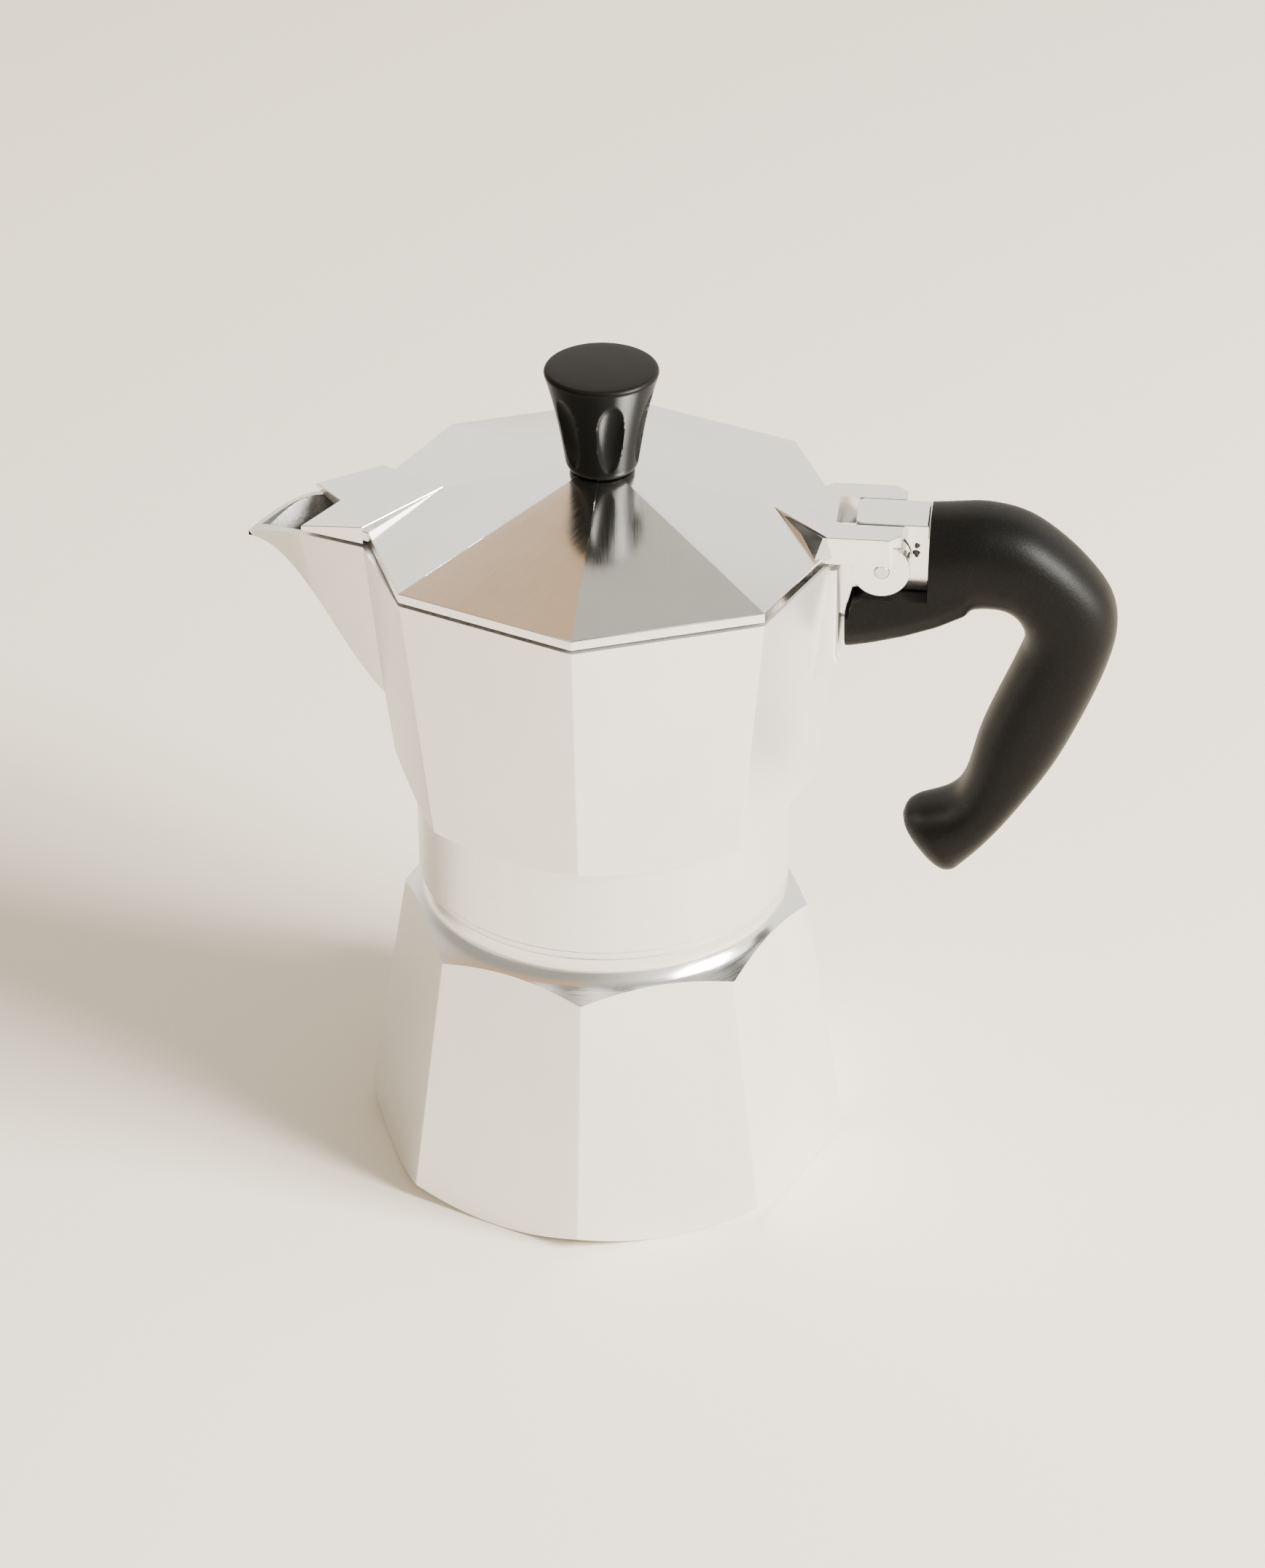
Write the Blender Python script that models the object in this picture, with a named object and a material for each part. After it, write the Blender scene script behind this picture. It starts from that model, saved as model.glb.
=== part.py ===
"""Eight-sided stove-top coffee pot, built as the pieces that it comes apart into.

The origin is on the surface that the pot stands on, under the pot's own axis. +Z is up, +X runs
towards the handle and hinge, -X towards the spout. Lengths are in metres.
"""

from math import atan2, cos, pi, radians, sin

import bmesh
import bpy
from mathutils import Matrix, Vector

# ---------------------------------------------------------------- driving dimensions

GAP = 0.0003  # between faces that touch on the real pot
FACET = pi / 4  # turn from one of the eight corners to the next
HALF_FACET = FACET / 2
FLAT = cos(HALF_FACET)  # a flat's distance from the axis, per unit of corner radius

# Boiler
BOILER_FOOT_RADIUS = 0.0475  # to a corner, at the table
BOILER_SHOULDER_RADIUS = 0.0392  # to a corner, where the turned shoulder cuts it off
BOILER_CORNER_HEIGHT = 0.0513
BOILER_HEIGHT = 0.0591  # up to the face that the collar screws down on
BOILER_WALL = 0.0035
BOILER_FLOOR = 0.004
FOOT_EDGE_HEIGHT = 0.0029  # the corners are turned off up to here
FOOT_EDGE_INSET = 0.0033
SHOULDER_SLOPE = 0.576
WAIST_RADIUS = 0.0339  # turned groove between the shoulder and the joint
COVE_RADIUS = 0.005  # hollow curve from the shoulder up to the waist
COVE_TURN = 60  # degrees from the shoulder to the upright waist
FLANGE_INSET = 0.00095  # the face under the collar is this much smaller than the collar
FLANGE_HEIGHT = 0.0009

# Screwed joint
COLLAR_RADIUS = 0.03575
THREAD_RADIUS = 0.0316  # root of the boiler's thread
THREAD_DEPTH = 0.0012
THREAD_PITCH = 0.003
THREAD_TURNS = 2.25
THREAD_CLEARANCE = 0.00035
NECK_HEIGHT = 0.0095
NECK_BORE = 0.028

# Funnel with its basket, gasket and filter plate
BASKET_CLEARANCE = 0.0007
SHEET = 0.0009  # wall of the funnel
FUNNEL_RIM_OVERLAP = 0.0024  # how far the rim lies on the neck
BASKET_DEPTH = 0.0215
STEM_RADIUS = 0.0056
STEM_FOOT_GAP = 0.0042  # the water enters here
SCREEN_THICKNESS = 0.0008
SCREEN_HOLE = 0.0009
GASKET_THICKNESS = 0.004
GASKET_WIDTH = 0.007
GASKET_GROOVE = 0.0011
PLATE_THICKNESS = 0.0008
PLATE_HOLE = 0.0009

# Collector, the upper chamber
COLLAR_HEIGHT = 0.01935
COLLECTOR_FOOT_RADIUS = 0.0400  # to a corner, where the collar ends
UNDERCUT_SLOPE = 0.558
COLLECTOR_HEIGHT = 0.0726  # collar face to rim
COLLECTOR_RIM_RADIUS = 0.0465  # to a corner
COLLECTOR_WALL = 0.0026
COLLECTOR_FLOOR = 0.003
DOME_HEIGHT = 0.0032
DOME_RADIUS = 0.023
COLUMN_HEIGHT = 0.035
COLUMN_RADIUS = 0.0052
COLUMN_FOOT_RADIUS = 0.0105
COLUMN_BORE = 0.0032
CAP_HEIGHT = 0.0088
CAP_RADIUS = 0.0057

# Spout
SPOUT_DEPTH = 0.0379  # rim to the lowest point of its keel
SPOUT_REACH = 0.0199  # rim corner to tip
SPOUT_TIP_DROP = 0.0044
SPOUT_LIP_THICKNESS = 0.0010
SPOUT_HALF_WIDTH = 0.0122
SPOUT_SHOULDER = 0.0038  # rim corner back to where the spout's sides leave the body
SPOUT_MOUTH_REACH = 0.0083
SPOUT_MOUTH_HALF_WIDTH = 0.0083
SPOUT_WALL = 0.0015

# Lid
LID_GAP = 0.0005
LID_RIM = 0.0018
LID_RISE = 0.0118
LID_WALL = 0.0018
COVER_START = 0.0295  # the spout's cover leaves the roof's ridge here
COVER_FALL = 0.206
COVER_NOTCH = 0.0060
KNOB_SEAT_RADIUS = 0.0060

# Hinge
PIN_REACH = 0.0057  # rim corner out to the pin
PIN_DROP = 0.0013  # below the lid's lower face
PIN_RADIUS = 0.00130
PIN_CLEARANCE = 0.00012
LUG_HALF_WIDTH = 0.00483
LUG_CLEARANCE = 0.00042
HINGE_HALF_WIDTH = 0.0106
HINGE_TOP = 0.0055  # above the lid's lower face
KNUCKLE_RADIUS = 0.0053
KNUCKLE_INSET = 0.0004
ARM_REACH = 0.0036  # pin to the arm's end
SLOT_REACH = 0.0088  # pin back to the slot's end
BOSS_HALF_WIDTH = 0.0088
BOSS_DEPTH = 0.0205
BOSS_REACH = 0.0078  # pin back to the boss's face

# Handle
HANDLE_FACE = 0.0083  # pin out to the handle's upper face
HANDLE_HALF_WIDTH = 0.0093
HANDLE_FOOT_REACH = 0.0068  # pin back to the foot's face
CRADLE_DROP = 0.0066  # pin down to the cradle under the knuckles
TANG_LENGTH = 0.014
TANG_HEIGHT = 0.0088
TANG_CLEARANCE = 0.0003
FOOT_PIN_RADIUS = 0.0011
FOOT_PIN_LENGTH = 0.010
FOOT_PIN_DROP = 0.0152

# Knob
KNOB_FOOT_RADIUS = 0.0065
KNOB_FOOT_CHAMFER = 0.0007
KNOB_TOP_RADIUS = 0.0105
KNOB_HEIGHT = 0.0204
FLUTES = 6
FLUTE_DEPTH = 0.0013
FLUTE_HALF_TURN = 18  # degrees
FLUTE_MIDDLE = 0.475  # share of the knob's height
FLUTE_HALF_LENGTH = 0.385
FLUTE_PHASE = -72
INSERT_RADIUS = 0.0033
INSERT_LENGTH = 0.010
SCREW_RADIUS = 0.0020
SCREW_HEAD_RADIUS = 0.0036
SCREW_HEAD_HEIGHT = 0.0022
WASHER_RADIUS = 0.0046
WASHER_THICKNESS = 0.0008

# Safety valve, on a flat at the back
VALVE_FLAT = 2.5 * FACET
VALVE_HEIGHT = 0.033
VALVE_BOSS_RADIUS = 0.0075
VALVE_SHANK_RADIUS = 0.0039
VALVE_HEX_RADIUS = 0.0058
VALVE_HEX_HEIGHT = 0.0044
VALVE_NOSE_HEIGHT = 0.0022
VALVE_CHAMBER = 0.0030
VALVE_PIN_RADIUS = 0.0012
VALVE_PIN_PROUD = 0.0020
VALVE_COLLAR_RADIUS = 0.0026
SPRING_RADIUS = 0.0021
SPRING_WIRE = 0.00033
SPRING_COILS = 5

LARGE = 48  # sides of a large turned piece
MEDIUM = 32
SMALL = 20

# ---------------------------------------------------------------- heights and places worked out

collar_z = BOILER_HEIGHT + GAP
neck_z = BOILER_HEIGHT + NECK_HEIGHT
rim_z = neck_z + GAP  # underside of the funnel's rim
gasket_z = rim_z + SHEET + GAP
recess_z = gasket_z + GASKET_THICKNESS + GAP
band_z = collar_z + COLLAR_HEIGHT
mouth_z = collar_z + COLLECTOR_HEIGHT  # rim of the collector
floor_z = recess_z + DOME_HEIGHT + COLLECTOR_FLOOR
column_z = floor_z + COLUMN_HEIGHT
lid_z = mouth_z + LID_GAP
apex_z = lid_z + LID_RIM + LID_RISE
seat_z = apex_z - LID_RISE * KNOB_SEAT_RADIUS / COLLECTOR_RIM_RADIUS - 0.0002
pin_x = COLLECTOR_RIM_RADIUS + PIN_REACH
pin_z = lid_z - PIN_DROP
hinge_z = lid_z + HINGE_TOP
face_x = pin_x + HANDLE_FACE
foot_x = pin_x - HANDLE_FOOT_REACH
boss_x = pin_x - BOSS_REACH
flange_radius = COLLAR_RADIUS - FLANGE_INSET
thread_bore = THREAD_RADIUS + THREAD_DEPTH + THREAD_CLEARANCE
recess_radius = thread_bore
gasket_outer = recess_radius - GAP
gasket_inner = gasket_outer - GASKET_WIDTH
basket_radius = NECK_BORE - BASKET_CLEARANCE
boiler_taper = (BOILER_FOOT_RADIUS - BOILER_SHOULDER_RADIUS) / BOILER_CORNER_HEIGHT
collector_flare = (COLLECTOR_RIM_RADIUS - COLLECTOR_FOOT_RADIUS) / (mouth_z - band_z)


def boiler_radius(z):
    """Corner radius of the boiler at a height."""
    return BOILER_FOOT_RADIUS - boiler_taper * z


def collector_radius(z):
    """Corner radius of the collector at a height."""
    return COLLECTOR_FOOT_RADIUS + collector_flare * (z - band_z)


# ---------------------------------------------------------------- modelling helpers


def finish_material(name, colour, roughness, metallic):
    made = bpy.data.materials.new(name)
    made.use_nodes = True
    shader = made.node_tree.nodes["Principled BSDF"]
    shader.inputs["Base Color"].default_value = (*colour, 1)
    shader.inputs["Roughness"].default_value = roughness
    shader.inputs["Metallic"].default_value = metallic
    return made


def mesh_object(name, bm, material=None, smooth=True):
    """Makes an object of a bmesh, with its faces pointing out and its round parts smooth."""
    bmesh.ops.remove_doubles(bm, verts=bm.verts, dist=1e-7)
    bmesh.ops.recalc_face_normals(bm, faces=bm.faces)
    mesh = bpy.data.meshes.new(name)
    bm.to_mesh(mesh)
    bm.free()
    made = bpy.data.objects.new(name, mesh)
    bpy.context.scene.collection.objects.link(made)
    if material:
        mesh.materials.append(material)
    if smooth:
        mesh.shade_smooth()
        mesh.set_sharp_from_angle(angle=radians(30))
    return made


def spun(profile, sides):
    """Turns a closed outline of (radius, height) points about Z."""
    bm = bmesh.new()
    ring = [bm.verts.new((radius, 0, z)) for radius, z in profile]
    edges = []
    for start, end in zip(ring, ring[1:] + ring[:1]):
        if start.co.x > 1e-9 or end.co.x > 1e-9:
            edges.append(bm.edges.new((start, end)))
    bmesh.ops.spin(
        bm,
        geom=ring + edges,
        cent=(0, 0, 0),
        axis=(0, 0, 1),
        angle=2 * pi,
        steps=sides,
        use_merge=True,
    )
    bmesh.ops.remove_doubles(bm, verts=bm.verts, dist=1e-7)
    return bm


def turned(name, profile, sides, material=None):
    return mesh_object(name, spun(profile, sides), material)


def lofted(rings):
    """Skins rings that have the same number of points, and caps both ends."""
    bm = bmesh.new()
    rows = [[bm.verts.new(point) for point in ring] for ring in rings]
    for low, high in zip(rows, rows[1:]):
        for i in range(len(low)):
            j = (i + 1) % len(low)
            bm.faces.new((low[i], low[j], high[j], high[i]))
    bm.faces.new(reversed(rows[0]))
    bm.faces.new(rows[-1])
    return bm


def extruded(outline, low, high, along="Z"):
    """A straight prism of a plane outline: (x, y) points along Z, or (x, z) points along Y."""
    if along == "Z":
        return lofted([[(a, b, level) for a, b in outline] for level in (low, high)])
    return lofted([[(a, level, b) for a, b in outline] for level in (low, high)])


def octagon(radius, z):
    return [(radius * cos(i * FACET), radius * sin(i * FACET), z) for i in range(8)]


def rectangle(left, right, low, high):
    """The four corners of a plane rectangle."""
    return [(left, low), (right, low), (right, high), (left, high)]


def arc(centre, radius, start, end, steps):
    """Points of an arc in a plane, angles in degrees."""
    points = []
    for i in range(steps + 1):
        angle = radians(start + (end - start) * i / steps)
        points.append((centre[0] + radius * cos(angle), centre[1] + radius * sin(angle)))
    return points


def bezier(points, t):
    """A point on a cubic curve through the first and last of four points."""
    weights = ((1 - t) ** 3, 3 * t * (1 - t) ** 2, 3 * t * t * (1 - t), t**3)
    return [sum(w * p[k] for w, p in zip(weights, points)) for k in range(len(points[0]))]


def cut(target, tool, operation="DIFFERENCE"):
    """Adds a live Boolean, and keeps its tool out of the built part."""
    modifier = target.modifiers.new(tool.name, "BOOLEAN")
    modifier.operation = operation
    modifier.object = tool
    modifier.solver = "EXACT"
    tool.hide_render = True
    tool.display_type = "WIRE"


def cylinder_y(name, x, z, radius, low, high, sides=SMALL, material=None):
    """A round rod along Y."""
    ring = arc((x, z), radius, 0, 360 - 360 / sides, sides - 1)
    return mesh_object(name, extruded(ring, low, high, "Y"), material)


def thread_ridge(name, root, depth, low, high, turns, inward=False):
    """A helical ridge, rooted inside the wall that it stands on, which fades out at both ends."""
    steps = int(turns * MEDIUM)
    flank = THREAD_PITCH * 0.5
    crest = THREAD_PITCH * 0.14
    sunk = -0.0006
    side = -1 if inward else 1
    rings = []
    for i in range(steps + 1):
        angle = 2 * pi * i / MEDIUM
        fade = min(1, i / 5, (steps - i) / 5)
        tip = sunk + (depth - sunk) * (0.35 + 0.65 * fade)
        middle = low + (high - low) * i / steps
        shape = (
            (sunk, -flank * 0.62),
            (tip, -crest * (0.5 + 0.5 * fade)),
            (tip, crest * (0.5 + 0.5 * fade)),
            (sunk, flank * 0.62),
        )
        ring = []
        for out, up in shape:
            radius = root + side * out
            ring.append((radius * cos(angle), radius * sin(angle), middle + up))
        rings.append(ring)
    return mesh_object(name, lofted(rings), smooth=False)


def perforated_disc(name, radius, thickness, z, hole, circles, material):
    """A flat disc with a hole in its middle and circles of 6, 12, 18... holes round it."""
    disc = turned(name, [(0, z), (radius, z), (radius, z + thickness), (0, z + thickness)], MEDIUM, material)
    step = (radius - 0.0035) / circles
    bm = bmesh.new()
    for circle in range(circles + 1):
        for i in range(max(1, 6 * circle)):
            angle = 2 * pi * i / max(1, 6 * circle)
            out = step * circle
            place = Matrix.Translation((out * cos(angle), out * sin(angle), z + thickness / 2))
            bmesh.ops.create_cone(
                bm,
                cap_ends=True,
                segments=6,
                radius1=hole,
                radius2=hole,
                depth=4 * thickness,
                matrix=place,
            )
    cut(disc, mesh_object(name + "_punch", bm, smooth=False))
    return disc


# ---------------------------------------------------------------- boiler


def make_boiler(metal):
    height = neck_z + 0.001
    body = mesh_object(
        "boiler",
        lofted([octagon(boiler_radius(-0.001), -0.001), octagon(boiler_radius(height), height)]),
        metal,
    )
    foot = BOILER_FOOT_RADIUS * FLAT  # the turned foot just touches each flat
    wide = BOILER_FOOT_RADIUS + 0.004
    edge_slope = FOOT_EDGE_HEIGHT / FOOT_EDGE_INSET
    cone_low = BOILER_CORNER_HEIGHT - SHOULDER_SLOPE * (wide - BOILER_SHOULDER_RADIUS)
    cove_centre = WAIST_RADIUS + COVE_RADIUS
    start = radians(COVE_TURN)
    shoulder = cove_centre - COVE_RADIUS * cos(start)
    cove_low = BOILER_CORNER_HEIGHT + SHOULDER_SLOPE * (BOILER_SHOULDER_RADIUS - shoulder)
    cove_top = cove_low + COVE_RADIUS * sin(start)
    envelope = [(0, 0), (foot, 0), (wide, (wide - foot) * edge_slope), (wide, cone_low)]
    envelope += arc((cove_centre, cove_top), COVE_RADIUS, 180 + COVE_TURN, 180, 6)
    envelope += [
        (WAIST_RADIUS, BOILER_HEIGHT - FLANGE_HEIGHT),
        (flange_radius, BOILER_HEIGHT - 0.0002),
        (flange_radius, BOILER_HEIGHT),
        (THREAD_RADIUS, BOILER_HEIGHT),
        (THREAD_RADIUS, neck_z),
        (0, neck_z),
    ]
    cut(body, turned("boiler_turning", envelope, LARGE), "INTERSECT")

    inner_foot = (boiler_radius(BOILER_FLOOR) * FLAT) - BOILER_WALL
    inner_top = BOILER_CORNER_HEIGHT - 0.001
    inner_shoulder = boiler_radius(inner_top) * FLAT - BOILER_WALL
    cavity = [
        (0, BOILER_FLOOR),
        (inner_foot - 0.003, BOILER_FLOOR),
        (inner_foot - 0.0008, BOILER_FLOOR + 0.001),
        (inner_foot, BOILER_FLOOR + 0.003),
        (inner_shoulder, inner_top),
        (NECK_BORE, BOILER_HEIGHT - 0.001),
        (NECK_BORE, height),
        (0, height),
    ]
    cut(body, turned("boiler_hollow", cavity, LARGE))
    low = BOILER_HEIGHT + 0.55 * THREAD_PITCH
    high = low + THREAD_TURNS * THREAD_PITCH
    cut(body, thread_ridge("boiler_thread", THREAD_RADIUS, THREAD_DEPTH, low, high, THREAD_TURNS), "UNION")
    return body


# ---------------------------------------------------------------- safety valve


def valve_place():
    """An empty on the boiler's flat, whose +Z points out of the flat."""
    lean = atan2(boiler_taper * FLAT, 1)
    out = boiler_radius(VALVE_HEIGHT) * FLAT
    empty = bpy.data.objects.new("valve_axis", None)
    bpy.context.scene.collection.objects.link(empty)
    empty.matrix_world = (
        Matrix.Translation((out * cos(VALVE_FLAT), out * sin(VALVE_FLAT), VALVE_HEIGHT))
        @ Matrix.Rotation(VALVE_FLAT, 4, "Z")
        @ Matrix.Rotation(pi / 2 - lean, 4, "Y")
    )
    return empty


def hex_prism(name, radius, low, high):
    ring = [(radius * cos(i * pi / 3), radius * sin(i * pi / 3)) for i in range(6)]
    return mesh_object(name, extruded(ring, low, high), smooth=False)


def make_valve(boiler, brass, steel, fibre, rubber):
    place = valve_place()
    boss_top = 0.0008
    boss = turned(
        "valve_boss",
        [(0, -0.002), (VALVE_BOSS_RADIUS, -0.002), (VALVE_BOSS_RADIUS, boss_top), (0, boss_top)],
        MEDIUM,
    )
    bore = turned(
        "valve_bore",
        [
            (0, -0.008),
            (VALVE_SHANK_RADIUS + GAP, -0.008),
            (VALVE_SHANK_RADIUS + GAP, 0.004),
            (0, 0.004),
        ],
        SMALL,
    )
    cut(boiler, boss, "UNION")
    cut(boiler, bore)

    washer_low = boss_top + GAP
    washer_high = washer_low + 0.001
    washer = turned(
        "valve_washer",
        [
            (VALVE_SHANK_RADIUS + GAP, washer_low),
            (VALVE_HEX_RADIUS + 0.0006, washer_low),
            (VALVE_HEX_RADIUS + 0.0006, washer_high),
            (VALVE_SHANK_RADIUS + GAP, washer_high),
        ],
        SMALL,
        fibre,
    )

    shank_end = -BOILER_WALL - 0.0018
    seat = shank_end + 0.0013
    hex_low = washer_high + GAP
    hex_high = hex_low + VALVE_HEX_HEIGHT
    nose = hex_high + VALVE_NOSE_HEIGHT
    hole = VALVE_PIN_RADIUS + GAP
    cap_inside = nose - 0.001
    body = turned(
        "valve_body",
        [
            (hole, shank_end),
            (VALVE_SHANK_RADIUS, shank_end),
            (VALVE_SHANK_RADIUS, hex_high - 0.0005),
            (0.0046, hex_high),
            (0.0039, nose),
            (hole, nose),
            (hole, cap_inside),
            (VALVE_CHAMBER, cap_inside),
            (VALVE_CHAMBER, seat),
            (hole, seat),
        ],
        SMALL,
        brass,
    )
    hexagon = hex_prism("valve_hexagon", VALVE_HEX_RADIUS, hex_low, hex_high - 0.0002)
    core = turned(
        "valve_hexagon_core",
        [
            (0, hex_low - 0.001),
            (VALVE_SHANK_RADIUS - 0.0002, hex_low - 0.001),
            (VALVE_SHANK_RADIUS - 0.0002, hex_high + 0.001),
            (0, hex_high + 0.001),
        ],
        SMALL,
    )
    cut(hexagon, core)
    cut(body, hexagon, "UNION")

    seal_low = seat + GAP
    seal_high = seal_low + 0.0008
    seal = turned(
        "valve_seal",
        [
            (hole, seal_low),
            (VALVE_COLLAR_RADIUS, seal_low),
            (VALVE_COLLAR_RADIUS, seal_high),
            (hole, seal_high),
        ],
        SMALL,
        rubber,
    )
    collar_low = seal_high + GAP
    collar_high = collar_low + 0.0008
    tip = nose + VALVE_PIN_PROUD
    pin = turned(
        "valve_pin",
        [
            (0, shank_end + 0.0004),
            (VALVE_PIN_RADIUS, shank_end + 0.0004),
            (VALVE_PIN_RADIUS, collar_low),
            (VALVE_COLLAR_RADIUS, collar_low),
            (VALVE_COLLAR_RADIUS, collar_high),
            (VALVE_PIN_RADIUS, collar_high),
            (VALVE_PIN_RADIUS, tip - 0.0004),
            (VALVE_PIN_RADIUS * 0.6, tip),
            (0, tip),
        ],
        SMALL,
        brass,
    )

    low = collar_high + SPRING_WIRE + GAP
    high = cap_inside - SPRING_WIRE - GAP
    curve = bpy.data.curves.new("valve_spring", "CURVE")
    curve.dimensions = "3D"
    curve.bevel_depth = SPRING_WIRE
    curve.bevel_resolution = 1
    curve.use_fill_caps = True
    line = curve.splines.new("POLY")
    count = SPRING_COILS * 12
    line.points.add(count)
    for i, point in enumerate(line.points):
        angle = 2 * pi * i / 12
        point.co = (SPRING_RADIUS * cos(angle), SPRING_RADIUS * sin(angle), low + (high - low) * i / count, 1)
    spring = bpy.data.objects.new("valve_spring", curve)
    bpy.context.scene.collection.objects.link(spring)
    curve.materials.append(steel)

    for piece in (boss, bore, washer, body, hexagon, core, seal, pin, spring):
        piece.parent = place


# ---------------------------------------------------------------- funnel, gasket and filter plate


def make_funnel(metal):
    top = rim_z + SHEET
    basket_floor = top - BASKET_DEPTH
    outer = basket_radius
    inner = basket_radius - SHEET
    stem_low = BOILER_FLOOR + STEM_FOOT_GAP
    cone_low = basket_floor - 0.0085
    rim = NECK_BORE + FUNNEL_RIM_OVERLAP
    bore = STEM_RADIUS - SHEET
    turned(
        "funnel",
        [
            (rim, top),
            (rim, rim_z),
            (outer, rim_z),
            (outer, basket_floor),
            (outer - 0.001, basket_floor - 0.0012),
            (STEM_RADIUS + 0.0008, cone_low),
            (STEM_RADIUS, cone_low - 0.002),
            (STEM_RADIUS, stem_low),
            (bore, stem_low),
            (bore, cone_low - 0.0015),
            (bore + 0.0008, cone_low + 0.0006),
            (inner - 0.0028, basket_floor - 0.0006),
            (inner, basket_floor - 0.0002),
            (inner, top),
        ],
        MEDIUM,
        metal,
    )
    perforated_disc(
        "funnel_screen",
        inner - GAP,
        SCREEN_THICKNESS,
        basket_floor + GAP,
        SCREEN_HOLE,
        2,
        metal,
    )


def make_seal(rubber, steel):
    groove_low = gasket_z + (GASKET_THICKNESS - PLATE_THICKNESS) / 2 - GAP
    groove_high = groove_low + PLATE_THICKNESS + 2 * GAP
    top = gasket_z + GASKET_THICKNESS
    turned(
        "gasket",
        [
            (gasket_outer, top),
            (gasket_outer, gasket_z),
            (gasket_inner, gasket_z),
            (gasket_inner, groove_low),
            (gasket_inner + GASKET_GROOVE, groove_low),
            (gasket_inner + GASKET_GROOVE, groove_high),
            (gasket_inner, groove_high),
            (gasket_inner, top),
        ],
        LARGE,
        rubber,
    )
    perforated_disc(
        "filter_plate",
        gasket_inner + GASKET_GROOVE - GAP,
        PLATE_THICKNESS,
        groove_low + GAP,
        PLATE_HOLE,
        3,
        steel,
    )


# ---------------------------------------------------------------- spout

SPOUT_STEPS = 6


def spout_lines(inset):
    """The spout's keel, the straight edge where its side leaves the body, and its lip.

    An inset above zero moves every point inwards, for the channel that the coffee runs along.
    """
    low_z = mouth_z - SPOUT_DEPTH + inset * 2.2
    foot = (-collector_radius(low_z) + inset * 0.4, 0, low_z)
    tip = (-(COLLECTOR_RIM_RADIUS + SPOUT_REACH) + inset * 1.7, 0, mouth_z - SPOUT_TIP_DROP)
    keel_tip = (tip[0], 0, tip[2] - SPOUT_LIP_THICKNESS + inset * 0.8)
    bend = (
        foot,
        (foot[0] - 0.0084, 0, foot[2] + 0.0092),
        (keel_tip[0] + 0.0095, 0, keel_tip[2] - 0.0012),
        keel_tip,
    )
    keel = [bezier(bend, i / (2 * SPOUT_STEPS)) for i in range(2 * SPOUT_STEPS + 1)]
    shoulder = (-(COLLECTOR_RIM_RADIUS - SPOUT_SHOULDER) + inset, SPOUT_HALF_WIDTH - inset, mouth_z)
    side = []
    for i in range(SPOUT_STEPS + 1):
        t = i / SPOUT_STEPS
        side.append([a + (b - a) * t for a, b in zip(foot, shoulder)])
    mouth = (
        -(COLLECTOR_RIM_RADIUS + SPOUT_MOUTH_REACH) + inset * 0.2,
        SPOUT_MOUTH_HALF_WIDTH - inset * 0.9,
        mouth_z,
    )
    nose = (
        mouth,
        (mouth[0] - 0.0045, mouth[1] * 0.80, mouth_z - 0.0003),
        (tip[0] + 0.0030, mouth[1] * 0.36, tip[2] + 0.0016),
        tip,
    )
    lip = [bezier(nose, i / (SPOUT_STEPS - 1)) for i in range(SPOUT_STEPS)]
    return keel, side, lip


def spout_shell(inset):
    """The two sides of the spout, and each side's edge from its foot by way of the lip to the tip."""
    keel, side, lip = spout_lines(inset)
    bm = bmesh.new()
    middle = [bm.verts.new(point) for point in keel]
    tip = bm.verts.new(lip[-1])
    edges = []
    for way in (-1, 1):
        inner = [bm.verts.new((x, way * y, z)) for x, y, z in side[1:] + lip[:-1]]
        edge = [middle[0], *inner, tip]
        for i in range(len(edge) - 1):
            corners = [middle[i], middle[i + 1], edge[i + 1], edge[i]]
            bm.faces.new([v for k, v in enumerate(corners) if v not in corners[:k]])
        edges.append(edge)
    return bm, middle, edges


def make_spout():
    """The outer wedge, with the narrow facets that blend it into the body up to the next corners."""
    bm, middle, edges = spout_shell(0)
    near, far = edges
    corner = collector_radius(mouth_z)
    hips = [
        bm.verts.new((corner * cos(pi + FACET), corner * sin(pi + FACET), mouth_z)),
        bm.verts.new((corner * cos(pi - FACET), corner * sin(pi - FACET), mouth_z)),
    ]
    for edge, hip in zip(edges, hips):
        for i in range(SPOUT_STEPS):
            bm.faces.new((edge[i], edge[i + 1], hip))
    bm.faces.new((middle[0], hips[0], hips[1]))
    bm.faces.new((near[SPOUT_STEPS], far[SPOUT_STEPS], hips[1], hips[0]))
    for i in range(SPOUT_STEPS, len(near) - 2):
        bm.faces.new((near[i], near[i + 1], far[i + 1], far[i]))
    bm.faces.new((near[-2], near[-1], far[-2]))
    return mesh_object("spout", bm, smooth=False)


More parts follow.
